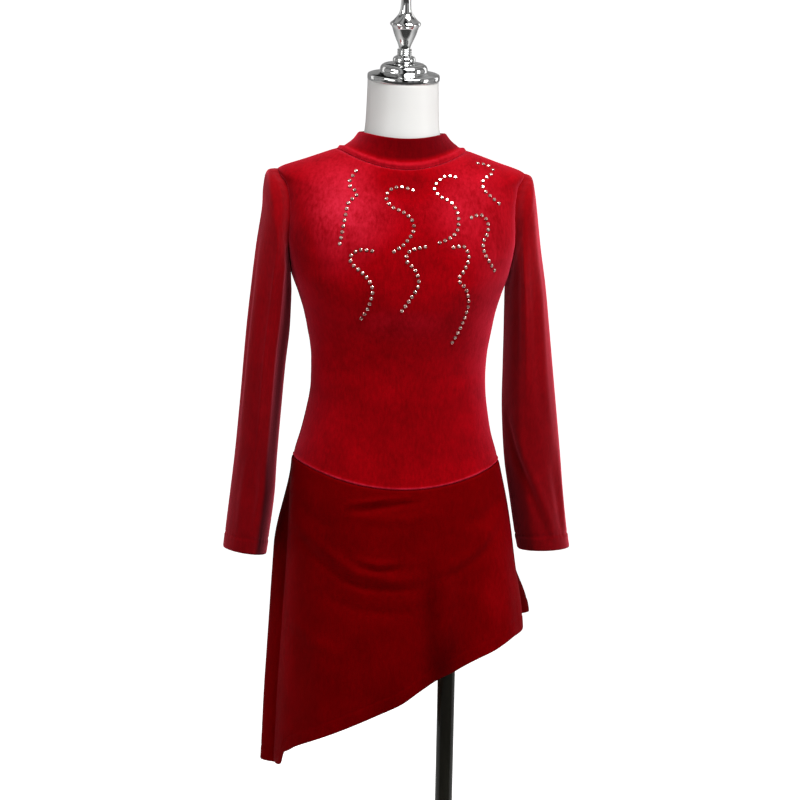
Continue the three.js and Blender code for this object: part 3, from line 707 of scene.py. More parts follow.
def tucked_rings(side, edge):
    """The seam allowance of a sleeve's head, tucked in behind the edge of the bodice"""
    middle_of_hole = np.array([side * 165.0, 0.0, (armpit_level + shoulder_level) / 2])
    upper = (1 + np.cos(np.arange(sleeve_columns) / sleeve_columns * 2 * math.pi)) / 2
    body_out = np.stack([side * np.ones(sleeve_columns), 0.018 * edge[:, 1], 0.9 * upper ** 3],
                        axis=-1)
    body_out /= np.linalg.norm(body_out, axis=1, keepdims=True)
    away = edge - middle_of_hole
    away -= body_out * (away * body_out).sum(axis=1, keepdims=True)
    away /= np.linalg.norm(away, axis=1, keepdims=True)
    return [edge + away * reach - body_out * depth
            for reach, depth in ((3.6, 2.2), (1.8, 2.0), (0.2, 1.5))]


def sleeve_grid(side, rings, folds, inner_painted_shade):
    """Points of a sleeve and its painted light and shade; the last argument is how much painted shade
    darkens its inner side, toward the body
    """
    angle = np.arange(sleeve_columns) / sleeve_columns * 2 * math.pi
    outer = (1 + np.cos(angle)) / 2
    edge = armhole_edge(side)
    table = np.array([edge] + [
        np.stack([side * (in_x + (out_x - in_x) * outer), middle + side * np.sin(angle) * depth,
                  in_z + (out_z - in_z) * outer], axis=-1)
        for out_x, out_z, in_x, in_z, depth, middle in rings])
    keys = np.concatenate([np.linspace(0, 2, head_rows + 1)[:-1],
                           np.linspace(2, len(rings), sleeve_rows)])
    rows = np.zeros((len(keys), sleeve_columns, 3))
    for i in range(sleeve_columns):
        rows[:, i] = read_table(
            np.hstack([np.arange(len(table))[:, None], table[:, i]]), keys)[:, 1:]
    # the head is eased in fuller at the front, so it rolls forward just outside the armhole
    to_head = np.linalg.norm(rows - rows[:1], axis=2)
    front_roll = np.clip(-side * np.sin(angle), 0, 1) * outer
    rows[..., 1] -= 12 * front_roll * ease(to_head / 12) * (1 - ease((to_head - 30) / 110))
    # the flat map: degrees round from the outside, front first, and height
    degrees = np.degrees(angle)
    degrees = (360 - degrees) % 360 if side > 0 else degrees
    flat_map = np.stack([np.broadcast_to(degrees * girth_per_degree, rows.shape[:2]),
                         rows[..., 2]], axis=-1)
    scaled = [(w, h, [(d * girth_per_degree, z) for d, z in line]) for w, h, line in folds]
    to_cuff = np.linalg.norm(rows - rows[-1:], axis=2)
    lift = fold_heights(flat_map, scaled) * ease(to_head / 45) * (0.35 + 0.65 * ease(to_cuff / 40))
    # the head's seam and its puckers
    lift += seam_dip(to_head, 0.35, 2.0)
    lift += 0.25 * np.sin(angle * 30)[None, :] * np.exp(-((to_head - 5) / 7) ** 2)
    # the cuff: a stitched groove with its puckers, a thicker hem below it, and a round edge
    lift += -0.8 * np.exp(-((to_cuff - sleeve_hem) / 1.8) ** 2) \
        + 0.5 * ease((sleeve_hem - to_cuff) / 3)
    lift += 0.22 * np.sin(angle * 34)[None, :] * np.exp(-((to_cuff - sleeve_hem + 1) / 6) ** 2)
    lift += -0.5 * np.exp(-(to_cuff / 1.0) ** 2)
    # the underarm seam
    under = np.abs(angle - math.pi) * under_radius
    lift += seam_dip(under, 0.7, 1.8)[None, :] * ease(to_head / 20)
    normals = row_normals(rows[::-1], True)[::-1]
    moved = np.concatenate([tucked_rings(side, edge), rows + normals * lift[..., None]])
    # painted shade: a little darker all over, more toward the cuff, and more still on the inner side that
    # faces the body
    shaded_inner_side = ease((degrees - 112) / 14) * ease((250 - degrees) / 20)
    painted_shading = -0.15 - 0.2 * ease((rows[0, 0, 2] - moved[..., 2]) / 420) - inner_painted_shade * shaded_inner_side
    return moved[::-1], painted_shading[::-1]


sleeve_left = cloth_piece("sleeve_left_velvet",
                          *sleeve_grid(1, sleeve_left_rings, sleeve_left_folds, 0.3), True,
                          velvet_folded, "sleeve_left")
sleeve_right = cloth_piece("sleeve_right_velvet",
                           *sleeve_grid(-1, sleeve_right_rings, sleeve_right_folds, 0.62), True,
                           velvet_folded, "sleeve_right")

# Skirt: a front and a back panel, flared to an A line and set into the curved hip seam. The hem hangs
# low at the wearer's right and rises in a slant to the left, turned twice and stitched; the weight of
# the low side pulls a smile of soft drag lines across the front.
# height, half width towards -X, half width towards +X, front, back
skirt_rings = [
    (480, 167, 188, 123, 130),
    (543, 165, 187, 123, 130),
    (601, 163, 186.5, 123, 130),
    (659, 160, 189.5, 123, 129),
    (688, 158.5, 188.5, 122, 129),
    (717, 157, 186.2, 122, 128.5),
    (748, 155.5, 182, 121, 128),
    (776, 154, 176.5, 120, 127),
    (805, 152.5, 172, 119, 126),
    (834, 151.5, 168, 117.5, 125),
    (862, 151, 163.5, 115.5, 123),
    (890, 150, 158, 113, 120.5),
    (920, 147.5, 151, 110.5, 117.5),
    (945, 145, 145, 108, 114),
]
# the back panel's lip behind each side seam: how far out, and from the hip to the hem as 0 to 1, where
# it starts and where it is full
lip_right, lip_left = (19.5, 0.02, 0.3), (16.0, 0.6, 1.0)
# x, front hem, back hem
hem_heights = [
    (-164, 500, 499),
    (-156, 502, 495),
    (-153, 505.5, 497),
    (-151, 514.5, 501),
    (-150, 522, 503),
    (-147, 525.5, 505),
    (-143, 529, 507),
    (-134, 537, 509),
    (-112, 549, 513),
    (-65, 572, 541),
    (-34, 587, 561),
    (4, 606, 585),
    (29, 624, 602),
    (55, 640, 620),
    (87, 651.5, 642),
    (127, 672, 668),
    (161, 691, 692),
    (178, 694.5, 707),
    (188, 696.5, 714),
]
# degrees round from +X with the front at 270, half width, how far out at the hem, where it starts
standing_folds = [
    (300, 16, -9, 0.25),
    (322, 15, 4, 0.2),
    (275, 14, 4, 0.35),
    (236, 20, 4, 0.3),
    (46, 14, -8, 0.3),
    (78, 17, 9, 0.25),
    (108, 15, -7, 0.3),
    (134, 15, 7, 0.25),
]
skirt_front_folds = [
    (5, -3.2, [(-148, 838), (-114, 804), (-80, 779), (-48, 768), (-6, 764), (38, 768)]),
    (7, 3.2, [(-142, 850), (-100, 815), (-60, 788), (-8, 779), (40, 784)]),
    (7, -1.8, [(40, 776), (84, 790), (122, 818), (148, 850)]),
    (9, 1.8, [(56, 792), (100, 812), (142, 858)]),
    (4, 2.4, [(-64, 808), (-32, 801), (6, 805)]),
    (4, -2.2, [(-64, 798), (-30, 791), (6, 795)]),
    (8, -1.8, [(-124, 760), (-70, 738), (-10, 732), (50, 744)]),
    (9, 1.8, [(-150, 722), (-120, 690), (-70, 668)]),
    (12, -3.2, [(30, 806), (40, 750), (46, 690), (40, 640)]),
    (10, 2.2, [(62, 800), (70, 740), (74, 680)]),
    (3.6, 3.6, [(-78, 882), (-50, 887), (-16, 893), (18, 897)]),
    (4.0, -3.4, [(-80, 871), (-50, 875), (-12, 882), (28, 888)]),
    (7, 1.6, [(-92, 874), (-50, 866), (0, 863), (58, 872)]),
    (9, -2.0, [(-148, 890), (-124, 862), (-90, 846)]),
    (9, -1.8, [(146, 892), (122, 866), (90, 852)]),
    (14, 2.0, [(-112, 700), (-106, 630), (-102, 560)]),
    (14, -2.0, [(-60, 690), (-52, 640), (-48, 590)]),
    (12, 1.6, [(118, 780), (126, 730), (134, 690)]),
]
skirt_back_folds = [
    (13, -1.5, [(-140, 850), (-80, 812), (0, 800), (80, 816), (140, 852)]),
    (14, 1.3, [(-120, 872), (-60, 838), (10, 828), (84, 842)]),
    (16, -1.3, [(-96, 760), (-100, 690), (-108, 600)]),
    (16, 1.2, [(-44, 780), (-50, 700), (-54, 620)]),
    (15, -1.2, [(20, 790), (24, 720), (30, 650)]),
    (15, 1.1, [(86, 800), (96, 750), (108, 700)]),
    (12, -1.0, [(-144, 720), (-112, 700), (-70, 696)]),
]
# the hip seam and the skirt are ovals of about these half sizes, and the skirt's rings so square
hip_wide, hip_deep, skirt_wide, skirt_deep, skirt_square = 145.0, 110.0, 180.0, 120.0, 2.3
# the height whose ring is looked up in the table of hem heights
hem_ring = 650.0
# patches of painted light and shade on the skirt: x, height, half width, half height, how much lighter or
# darker
skirt_front_painted_shading = [
    (62, 662, 24, 38, -0.6),
    (44, 730, 14, 60, -0.35),
    (152, 760, 34, 110, 0.22),
    (-152, 700, 12, 150, 0.2),
    (-90, 850, 40, 40, -0.12),
    (-20, 590, 60, 40, -0.15),
]
skirt_back_painted_shading = [
    (60, 720, 50, 80, -0.3),
    (-80, 640, 50, 90, 0.2),
]


def fold_out(degrees, share):
    """How far the standing folds push the skirt out, at an angle round it and a share of its drop"""
    total = np.zeros(np.broadcast(degrees, share).shape)
    for middle, half_width, out, start in standing_folds:
        away = np.abs((degrees - middle + 540) % 360 - 180) / half_width
        grown = ease((share - start) / (1 - start)) ** 0.7
        total += np.where(away < 1, out * (0.5 + 0.5 * np.cos(away * math.pi)) * grown, 0)
    return total


def skirt_outline(height, side, face, turn):
    """Points of the skirt's ring at a height, before its folds"""
    _, minus_x, plus_x, front, back = read_table(skirt_rings, height).T
    angle = turn * math.pi / 2
    half = np.where(side < 0, minus_x, plus_x)
    return np.stack([side * half * np.maximum(np.cos(angle), 0) ** (2 / skirt_square),
                     face * np.where(face < 0, front, back) * np.sin(angle) ** (2 / skirt_square),
                     height + 0 * turn], axis=-1)


def skirt_points(share, side, face, turn):
    """Points of the skirt at a share of its drop, 0 at the hip seam and 1 at the hem"""
    seam = body_points(hip_level, side, face, turn)
    out = np.stack([seam[:, 0] / hip_wide, seam[:, 1] / hip_deep, 0 * turn], axis=-1)
    seam = seam + out / np.linalg.norm(out, axis=1, keepdims=True) * 2.0
    middle = skirt_outline(hem_ring + 0 * turn, side, face, turn)
    hem = read_table(hem_heights, middle[:, 0])[:, 1 if face < 0 else 2]
    height = seam[:, 2] + (hem - seam[:, 2]) * share
    points = skirt_outline(height, side, face, turn)
    at_seam = skirt_outline(seam[:, 2], side, face, turn)
    # the skirt leaves the line of the hip seam over the first sixth of its drop
    kept = 1 - ease(share / 0.16)
    points[:, :2] += (seam - at_seam)[:, :2] * kept
    degrees = np.degrees(np.arctan2(points[:, 1] / skirt_deep, points[:, 0] / skirt_wide))
    out = np.stack([points[:, 0] / skirt_wide, points[:, 1] / skirt_deep, 0 * turn], axis=-1)
    out /= np.linalg.norm(out, axis=1, keepdims=True)
    behind = turn * 10.0 * (face > 0)
    lip = np.where(side < 0,
                   lip_right[0] * ease((share - lip_right[1]) / (lip_right[2] - lip_right[1])),
                   lip_left[0] * ease((share - lip_left[1]) / (lip_left[2] - lip_left[1])))
    lip = lip * behind * np.exp(1 - behind)
    return points + out * (fold_out(degrees, share) + lip)[:, None]


def skirt_panel(face, folds, patches):
    """Points of the skirt's front (face -1) or back (face 1), rows from the hem up, and their painted
    light and shade
    """
    shares = np.concatenate([np.linspace(1, 0.93, 18)[:-1], np.linspace(0.93, 0.06, 90)[:-1],
                             np.linspace(0.06, 0, 14)])
    side_edge = turn_at_depth(hip_level, face, least_edge)
    grid = panel_grid(shares, face, skirt_points, lambda share: side_edge)
    to_side, normals = turn_at_sides(grid, row_normals(grid, False), side_turn)
    to_hip = np.linalg.norm(grid - grid[-1:], axis=2)
    to_hem = np.linalg.norm(grid - grid[:1], axis=2)
    lift = fold_heights(grid[..., [0, 2]], folds) * ease(to_side / side_fade)
    lift *= ease(to_hip / 25) * (0.3 + 0.7 * ease(to_hem / 30))
    lift += seam_dip(to_side, 0.7)
    # the hip seam and its puckers
    lift += seam_dip(to_hip, 0.9, 1.6)
    lift += 0.3 * np.sin(grid[..., 0] / 4.1 + np.sin(grid[..., 0] / 19)) \
        * np.exp(-((to_hip - 4) / 8) ** 2)
    # the hem: a stitched groove with its puckers, a thicker hem below it, and a round edge
    lift += -0.45 * np.exp(-((to_hem - skirt_hem) / 1.6) ** 2) \
        + 0.25 * ease((skirt_hem - to_hem) / 3)
    lift += 0.2 * np.sin(grid[..., 0] / 3.9) * np.exp(-((to_hem - skirt_hem + 1) / 7) ** 2)
    lift += -0.5 * np.exp(-(to_hem / 1.0) ** 2)
    moved = grid + normals * lift[..., None]
    # the seam allowances, turned in behind both side seams
    reach = np.sign(moved[:, [0, -1], :1]) * (0.3 + 3.7 * ease((shares - 0.1) / 0.3))[:, None, None]
    turned_in = moved[:, [0, -1]] - reach * np.array([1.0, 0.0, 0.0])
    moved = np.concatenate([turned_in[:, :1], moved, turned_in[:, 1:]], axis=1)
    return moved, painted_shading_patches(moved, patches)


skirt_front = cloth_piece("skirt_front_velvet",
                          *skirt_panel(-1, skirt_front_folds, skirt_front_painted_shading), False,
                          velvet_loose_shaded, "skirt_front")
skirt_back = cloth_piece("skirt_back_velvet",
                         *skirt_panel(1, skirt_back_folds, skirt_back_painted_shading), False,
                         velvet_loose_shaded, "skirt_back")

# Brief: the plain bottom of a skating dress, hidden under the skirt and cut from the same velvet.
# A front and a back piece meet in side and crotch seams, and each leg opening is a plain oval.
brief_levels = [771, 772.5, 775, 779, 785, 793, 803, 816, 832, 850, 870, 892, 915, 937.8]
crotch = (0.0, 0.002, 0.770)
# an oval leg opening: how far out and how high, its half sizes, and how it leans, in metres
leg_out, leg_height, leg_half_width, leg_half_depth = 0.098, 0.812, 0.074, 0.080
leg_lean = math.radians(42)
# half of the gap between the front and the back at their seams
brief_seam = 0.0001
body_columns = 192


def body_grid(levels):
    """Rings of points right round the body at some levels"""
    quarter_columns = body_columns // 4
    quarter, step = np.divmod(np.arange(body_columns), quarter_columns)
    turn = np.where(quarter % 2 == 0, step / quarter_columns, 1 - step / quarter_columns)
    side = np.where((quarter == 0) | (quarter == 3), 1.0, -1.0)
    face = np.where(quarter < 2, 1, -1)
    return np.array([body_points(level, side, face, turn) for level in levels])


def ring_shell(name, grid, foot=None):
    """A shell through rings of points in mm: a fan to its foot below and open above, or flat ends"""
    build = bmesh.new()
    rings = [[build.verts.new(point / 1000) for point in row] for row in grid]
    for low, high in zip(rings, rings[1:]):
        for i in range(body_columns):
            k = (i + 1) % body_columns
            build.faces.new((low[i], low[k], high[k], high[i]))
    if foot:
        middle = build.verts.new(foot)
        for i in range(body_columns):
            build.faces.new((rings[0][(i + 1) % body_columns], rings[0][i], middle))
    else:
        build.faces.new(rings[0][::-1])
        build.faces.new(rings[-1])
    mesh = bpy.data.meshes.new(name)
    build.to_mesh(mesh)
    build.free()
    shell = bpy.data.objects.new(name, mesh)
    bpy.context.collection.objects.link(shell)
    return shell


def cut_away(piece, cutter):
    """Cuts a cutter's shape out of a piece, and removes the cutter"""
    apply_modifier(piece, "BOOLEAN", operation="DIFFERENCE", object=cutter, solver="EXACT")
    bpy.data.objects.remove(cutter)


def bisect_piece(piece, place, direction, **kept):
    """Cuts a piece at a plane and closes it there"""
    select_only(piece)
    bpy.ops.object.mode_set(mode="EDIT")
    bpy.ops.mesh.select_all(action="SELECT")
    bpy.ops.mesh.bisect(plane_co=place, plane_no=direction, use_fill=True, **kept)
    bpy.ops.mesh.select_all(action="DESELECT")
    bpy.ops.object.mode_set(mode="OBJECT")


def round_edges(piece, width, smooth_to):
    """Rounds a piece's sharp edges and shades the rest of it smooth"""
    apply_modifier(piece, "BEVEL", width=width, segments=2, limit_method="ANGLE",
                   angle_limit=math.radians(50))
    select_only(piece)
    bpy.ops.object.shade_smooth_by_angle(angle=math.radians(smooth_to))


def brief_half(name, face, node):
    """The front (face -1) or back (face 1) of the brief, cut out of one shell"""
    shell = ring_shell(name, body_grid(brief_levels), crotch)
    apply_modifier(shell, "SOLIDIFY", thickness=cloth_thickness / 1000, offset=-1.0)
    for side in (-1, 1):
        bpy.ops.mesh.primitive_cylinder_add(vertices=72, radius=1.0, depth=0.13)
        leg_cutter = bpy.context.object
        leg_cutter.data.transform(
            Matrix.Translation((side * leg_out, 0, leg_height))
            @ Matrix.Rotation(-side * leg_lean, 4, "Y")
            @ Matrix.Diagonal((leg_half_width, leg_half_depth, 1.0, 1.0)))
        cut_away(shell, leg_cutter)
    bisect_piece(shell, (0, face * brief_seam, 0), (0, face, 0), clear_inner=True)
    round_edges(shell, 0.0004, 50)
    return finish_piece(shell, velvet_loose_shaded, node)


brief_front = brief_half("brief_front_velvet", -1, "brief_front")
brief_back = brief_half("brief_back_velvet", 1, "brief_back")

# Form: a limbless torso with its neck in one, a hollow shell of glass fibre moulded in two halves,
# rubbed down and sprayed white. The neck is cut to a plate that leans forward.
# how far the form's skin lies inside the cloth's outer face, so that no seam's dip touches it
form_inset = 4.4
form_levels = np.concatenate([[771, 773, 776, 780, 786, 794, 804], np.linspace(816, 1330, 60),
                              np.linspace(1334, 1400, 22), np.linspace(1408, 1495, 12)])
neck_top, neck_middle, neck_tilt = 1.4705, -0.005, math.radians(11)
# the stand's pole goes up into a bore in the form, 80 mm to the wearer's left of its middle
pole_out, bore_radius, bore_middle = 0.08, 0.0128, 0.7503

form_grid = body_grid(form_levels)
form = ring_shell("form_shell", form_grid - row_normals(form_grid, True) * form_inset)
bisect_piece(form, (0, neck_middle, neck_top), (0, -math.sin(neck_tilt), math.cos(neck_tilt)),
             clear_outer=True)
bpy.ops.mesh.primitive_cylinder_add(vertices=64, radius=bore_radius, depth=0.2,
                                    location=(pole_out, 0, bore_middle))
cut_away(form, bpy.context.object)
round_edges(form, 0.0008, 40)

# sprayed gelcoat over glass fibre: a satin off-white skin, faint orange peel, a little grey handling
gelcoat = new_material("sprayed_white_gelcoat")
gelcoat_place = add_node(gelcoat, "ShaderNodeTexCoord")
orange_peel = add_node(gelcoat, "ShaderNodeTexNoise", {"Scale": per_metre(2.38), "Detail": 2.0}, {
    "Vector": gelcoat_place.outputs["Object"]})
handling = add_node(gelcoat, "ShaderNodeTexNoise", {"Scale": per_metre(111), "Detail": 4.0}, {
    "Vector": gelcoat_place.outputs["Object"]})
gelcoat_tone = add_node(gelcoat, "ShaderNodeValToRGB", {}, {"Fac": handling.outputs["Fac"]})
gelcoat_tone.color_ramp.elements[0].color = linear("#BAB9B7")
gelcoat_tone.color_ramp.elements[1].color = linear("#C6C6C4")
gelcoat_bump = add_node(gelcoat, "ShaderNodeBump", {"Strength": 0.08, "Distance": 0.0004}, {
    "Height": orange_peel.outputs["Fac"]})
gelcoat_shader = add_node(gelcoat, "ShaderNodeBsdfPrincipled", {"Roughness": 0.42, "IOR": 1.5}, {
    "Base Color": gelcoat_tone.outputs["Color"], "Normal": gelcoat_bump.outputs["Normal"]})
finish_material(gelcoat, gelcoat_shader)
finish_piece(form, gelcoat, "form_body")

# Neck cap and finial: zinc castings, turned and bright chromed, on a rod through the leaning neck.
# Each is swept up from a round blank by drawing its top face on, ring after ring.
# radius, height above the neck plate, in mm
cap_profile = [
    (49.6, 0.3), (50.4, 0.6), (50.9, 1.5), (51.0, 4.4), (50.8, 7.0), (50.2, 8.0), (48.6, 8.8),
    (44.0, 9.8), (38.0, 11.2), (35.4, 12.0), (34.0, 12.9), (33.4, 14.2), (33.3, 16.8),
    (32.6, 18.8), (31.0, 20.8), (28.6, 22.4), (25.0, 23.5), (20.0, 24.1), (12.0, 24.3),
]
finial_profile = [
    (13.6, 24.6), (14.6, 25.1), (15.8, 26.6), (16.2, 28.6), (15.8, 30.6), (14.4, 32.4),
    (12.0, 33.7), (9.4, 34.3), (8.7, 34.8), (9.8, 35.2), (10.4, 36.0), (9.9, 36.8), (8.9, 37.3),
    (9.9, 37.8), (10.6, 38.8), (9.9, 39.8), (8.9, 40.3), (9.9, 40.9), (10.7, 42.0), (9.9, 43.2),
    (8.4, 43.9), (8.2, 45.6), (9.0, 48.6), (10.6, 52.6), (12.7, 57.0), (15.8, 64.5),
    (18.1, 72.0), (18.9, 74.6), (20.4, 76.0), (21.5, 77.2), (21.8, 78.4), (21.4, 79.8),
    (19.8, 81.4), (16.8, 83.8), (13.4, 87.8), (10.8, 91.2), (9.0, 94.8), (7.9, 100.0),
    (7.3, 106.0), (7.2, 112.0), (7.4, 115.0), (8.4, 117.2), (10.0, 119.8), (10.9, 123.4),
    (10.5, 127.0), (8.9, 130.2), (6.2, 132.6), (3.0, 133.8),
]
neck_place = Matrix.Translation((0, neck_middle, neck_top)) @ Matrix.Rotation(neck_tilt, 4, "X")


def draw_up(profile):
    """Draws the selected face up through rings of radius, height and, if given, a twist"""
    for (radius, height, *_), (next_radius, next_height, *twist) in zip(profile, profile[1:]):
        bpy.ops.mesh.extrude_region_move(TRANSFORM_OT_translate={
            "value": (0, 0, (next_height - height) / 1000)})
        size = next_radius / radius
        bpy.ops.transform.resize(value=(size, size, 1), center_override=(0, 0, 0))
        if twist:
            bpy.ops.transform.rotate(value=math.radians(twist[0]), orient_axis="Z",
                                     center_override=(0, 0, 0))


def turned_piece(name, profile, place, node, material):
    """A turned piece, swept up from a round blank and set in its place"""
    bpy.ops.object.select_all(action="DESELECT")
    bpy.ops.mesh.primitive_circle_add(
        vertices=96, radius=profile[0][0] / 1000, fill_type="NGON",
        location=(0, 0, profile[0][1] / 1000))
    piece = bpy.context.object
    piece.name = piece.data.name = name
    bpy.ops.object.transform_apply(location=True, rotation=True, scale=True)
    bpy.ops.object.mode_set(mode="EDIT")
    bpy.ops.mesh.select_all(action="SELECT")
    draw_up(profile)
    bpy.ops.mesh.select_all(action="SELECT")
    bpy.ops.mesh.normals_make_consistent(inside=False)
    bpy.ops.object.mode_set(mode="OBJECT")
    piece.data.transform(place)
    bpy.ops.object.shade_smooth_by_angle(angle=math.radians(38))
    return finish_piece(piece, material, node)


# bright chrome plate on polished zinc: a near mirror, with the faint waves and wipe marks of buffing
chrome = new_material("bright_chrome_plate")
chrome_place = add_node(chrome, "ShaderNodeTexCoord")
buffing = add_node(chrome, "ShaderNodeTexNoise", {"Scale": per_metre(50 / 3), "Detail": 3.0}, {
    "Vector": chrome_place.outputs["Object"]})
chrome_gloss = add_node(chrome, "ShaderNodeMapRange", {"To Min": 0.05, "To Max": 0.14}, {
    "Value": buffing.outputs["Fac"]})
chrome_bump = add_node(chrome, "ShaderNodeBump", {"Strength": 0.05, "Distance": 0.0008}, {
    "Height": buffing.outputs["Fac"]})
chrome_tone = add_node(chrome, "ShaderNodeValToRGB", {}, {"Fac": buffing.outputs["Fac"]})
chrome_tone.color_ramp.elements[0].color = linear("#D0D0D0")
chrome_tone.color_ramp.elements[1].color = linear("#DEDEDD")
chrome_shader = add_node(chrome, "ShaderNodeBsdfPrincipled", {"Metallic": 1.0}, {
    "Base Color": chrome_tone.outputs["Color"], "Roughness": chrome_gloss.outputs["Result"],
    "Normal": chrome_bump.outputs["Normal"]})
finish_material(chrome, chrome_shader)

turned_piece("chrome_neck_cap", cap_profile, neck_place, "neck_cap", chrome)
turned_piece("chrome_finial", finial_profile, neck_place, "finial", chrome)

# Pole stand: a steel tube in a turned socket on a round steel plate, all sprayed gloss black.
# The tube goes up through a leg opening into the form's bore; the plate's rim is broken by hand.
# radius, height in mm
pole_profile = [(12.1, 7.3), (12.5, 7.7), (12.5, 420.0), (12.5, 849.0), (11.6, 850.0)]
socket_profile = [
    (25.4, 7.3), (26.0, 7.8), (26.0, 11.2), (25.2, 12.2), (22.4, 13.6), (19.6, 16.0),
    (18.0, 19.2), (17.2, 24.0), (16.8, 30.0), (16.5, 34.4), (15.9, 35.0), (13.2, 35.0),
]
base_profile = [
    (168.4, 0.0), (169.5, 0.4), (170.0, 1.4), (170.0, 5.2), (169.5, 6.4), (168.2, 7.0),
    (110.0, 7.0), (40.0, 7.0),
]
# gloss black stove enamel on steel: deep black, a slight peel, dust and fine scuffs all over
enamel = new_material("gloss_black_enamel")
enamel_place = add_node(enamel, "ShaderNodeTexCoord")
enamel_peel = add_node(enamel, "ShaderNodeTexNoise", {"Scale": per_metre(6.25), "Detail": 2.0}, {
    "Vector": enamel_place.outputs["Object"]})
enamel_scuff = add_node(enamel, "ShaderNodeTexNoise", {"Scale": per_metre(71.4), "Detail": 8.0}, {
    "Vector": enamel_place.outputs["Object"]})
enamel_gloss = add_node(enamel, "ShaderNodeMapRange", {
    "From Min": 0.35, "From Max": 0.75, "To Min": 0.07, "To Max": 0.2}, {
    "Value": enamel_scuff.outputs["Fac"]})
enamel_tone = add_node(enamel, "ShaderNodeValToRGB", {}, {"Fac": enamel_scuff.outputs["Fac"]})
enamel_tone.color_ramp.elements[0].color = linear("#191914")
enamel_tone.color_ramp.elements[1].color = linear("#24221C")
enamel_bump = add_node(enamel, "ShaderNodeBump", {"Strength": 0.06, "Distance": 0.0005}, {
    "Height": enamel_peel.outputs["Fac"]})
enamel_shader = add_node(enamel, "ShaderNodeBsdfPrincipled", {
    "IOR": 1.5, "Specular IOR Level": 0.25, "Coat Weight": 0.15, "Coat Roughness": 0.03}, {
    "Base Color": enamel_tone.outputs["Color"], "Roughness": enamel_gloss.outputs["Result"],
    "Normal": enamel_bump.outputs["Normal"]})
finish_material(enamel, enamel_shader)

stand_place = Matrix.Translation((pole_out, 0, 0))
turned_piece("stand_pole", pole_profile, stand_place, "pole", enamel)
turned_piece("stand_socket", socket_profile, stand_place, "pole_socket", enamel)
turned_piece("stand_plate", base_profile, stand_place, "stand_base", enamel)

# Rhinestones: foil-backed glass, 6 mm across, pressed on hot in eight loose waves over the chest.
# Each stone has a table, a crown of facets and a girdle, and is set flat on the pile 8 mm from the next.
stone_pitch = 7.9
stone_lines = [
    [(-68, 1342), (-78, 1324), (-67, 1311), (-79, 1298), (-83, 1282), (-87, 1262), (-91, 1242)],
    [(10, 1317), (-6, 1321), (-21, 1317), (-27, 1306), (-20, 1294), (-3, 1286), (9, 1274),
     (9, 1259), (-4, 1242), (-17, 1233)],
    [(70, 1336), (56, 1337), (44, 1328), (40, 1319), (48, 1309), (63, 1301), (72, 1285),
     (71, 1264), (61, 1253), (46, 1246)],
    [(104, 1356), (120, 1353), (125, 1344), (110, 1333), (109, 1322), (118, 1312), (131, 1301)],
    [(91, 1281), (104, 1285), (114, 1276), (114, 1261), (107, 1246), (111, 1230), (125, 1209)],
    [(-47, 1233), (-64, 1234), (-76, 1226), (-74, 1215), (-55, 1198), (-46, 1180), (-51, 1156),
     (-60, 1140)],
    [(26, 1240), (5, 1234), (0, 1221), (12, 1208), (17, 1189), (5, 1167), (-5, 1152)],
    [(65, 1240), (80, 1241), (87, 1226), (80, 1208), (73, 1196), (84, 1182), (88, 1160),
     (79, 1130), (68, 1108)],
]
# radius, height, and how the ring is twisted past the one below, in degrees
stone_rings = [(3.0, 0.0, 0), (3.0, 0.4, 0), (2.2, 1.35, 22.5), (1.5, 1.7, 22.5)]
# facets with their middles above this height are the table and its bevels, in the light tones of a painted
# highlight; the crown below is in dark tones of painted shade
table_height = 0.0012
stone_lean, stone_seat = 0.05, 0.0002
bpy.ops.object.select_all(action="DESELECT")
bpy.ops.mesh.primitive_circle_add(vertices=8, radius=stone_rings[0][0] / 1000, fill_type="NGON")
stone = bpy.context.object
bpy.ops.object.mode_set(mode="EDIT")
bpy.ops.mesh.select_all(action="SELECT")
draw_up(stone_rings)
bpy.ops.mesh.select_all(action="SELECT")
bpy.ops.mesh.quads_convert_to_tris()
bpy.ops.mesh.normals_make_consistent(inside=False)
bpy.ops.object.mode_set(mode="OBJECT")
for facet in stone.data.polygons:
    facet.material_index = 0 if facet.center.z > table_height else 1


def smooth_line(points, pitch):
    """Points at an even pitch along a smooth line through the given ones"""
    table = [(i, *point) for i, point in enumerate(points)]
    fine = read_table(table, np.linspace(0, len(points) - 1, 400))[:, 1:]
    walked = np.concatenate([[0], np.linalg.norm(np.diff(fine, axis=0), axis=1).cumsum()])
    count = round(walked[-1] / pitch)
    at = np.linspace(0, walked[-1], count + 1)
    return np.stack([np.interp(at, walked, fine[:, 0]), np.interp(at, walked, fine[:, 1])], axis=1)


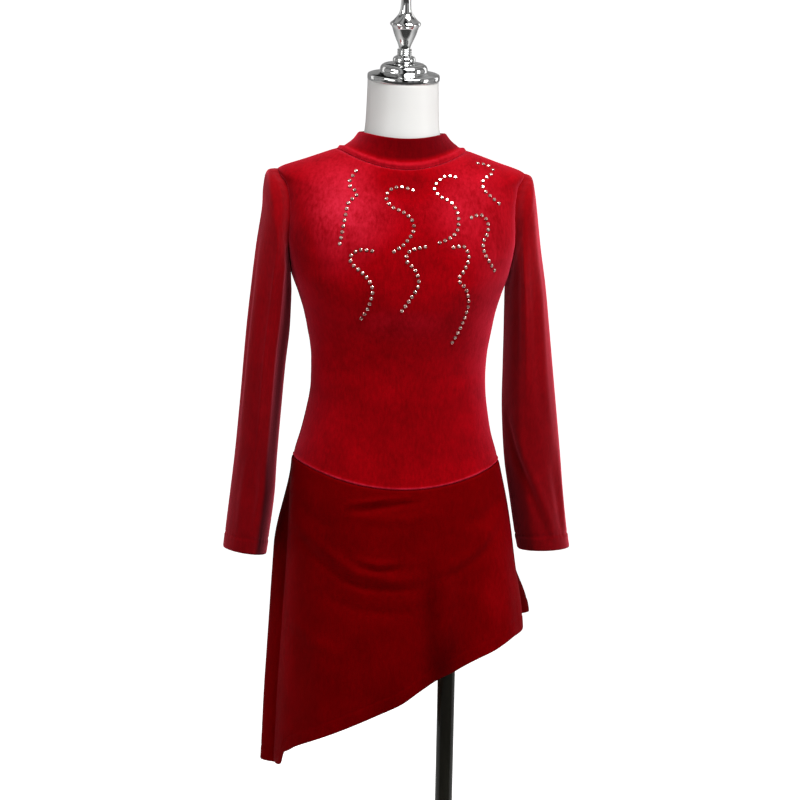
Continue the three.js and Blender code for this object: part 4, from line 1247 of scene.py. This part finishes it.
chest = BVHTree.FromObject(bodice_front, bpy.context.evaluated_depsgraph_get())
stone_luck = np.random.default_rng(7)
stone_build = bmesh.new()
for line in stone_lines:
    for x, z in smooth_line(line, stone_pitch):
        hit, normal, _, _ = chest.ray_cast(Vector((x / 1000, -0.3, z / 1000)), Vector((0, 1, 0)))
        if hit is None:
            continue
        spin, lean_x, lean_y = stone_luck.uniform(0, math.pi), *stone_luck.normal(0, stone_lean, 2)
        copy = stone.data.copy()
        copy.transform(
            Matrix.Translation(hit - normal * stone_seat)
            @ normal.to_track_quat("Z", "Y").to_matrix().to_4x4()
            @ Matrix.Rotation(lean_x, 4, "X") @ Matrix.Rotation(lean_y, 4, "Y")
            @ Matrix.Rotation(spin, 4, "Z"))
        stone_build.from_mesh(copy)
        bpy.data.meshes.remove(copy)
stone_mesh = bpy.data.meshes.new("rhinestones")
stone_build.to_mesh(stone_mesh)
stone_build.free()
rhinestones = bpy.data.objects.new("rhinestones", stone_mesh)
bpy.context.collection.objects.link(rhinestones)
bpy.data.objects.remove(stone)


def cut_glass(name, low_tone, high_tone):
    """Cut glass over silver foil, which glints in a facet; its pink and red tones are a painted reflection
    of the cloth
    """
    crystal = new_material(name)
    crystal_place = add_node(crystal, "ShaderNodeTexCoord")
    foil = add_node(crystal, "ShaderNodeTexNoise", {"Scale": per_metre(10 / 3), "Detail": 1.0}, {
        "Vector": crystal_place.outputs["Object"]})
    crystal_tone = add_node(crystal, "ShaderNodeValToRGB", {}, {"Fac": foil.outputs["Fac"]})
    crystal_tone.color_ramp.elements[0].position = 0.35
    crystal_tone.color_ramp.elements[0].color = linear(low_tone)
    crystal_tone.color_ramp.elements[1].position = 0.65
    crystal_tone.color_ramp.elements[1].color = linear(high_tone)
    crystal_shader = add_node(crystal, "ShaderNodeBsdfPrincipled", {
        "Metallic": 0.85, "Roughness": 0.09, "Coat Weight": 0.5, "Coat Roughness": 0.03}, {
        "Base Color": crystal_tone.outputs["Color"]})
    finish_material(crystal, crystal_shader)
    return crystal


# the table's light tones are a painted highlight and the crown's dark ones painted shade, both tinted as a
# painted reflection of the red cloth
stone_mesh.materials.append(cut_glass("cut_glass_table_painted_highlight", "#CC8E84", "#FFE4DA"))
stone_mesh.materials.append(cut_glass("cut_glass_crown_painted_shade", "#5A1C1C", "#B4706A"))
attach(rhinestones, "root")
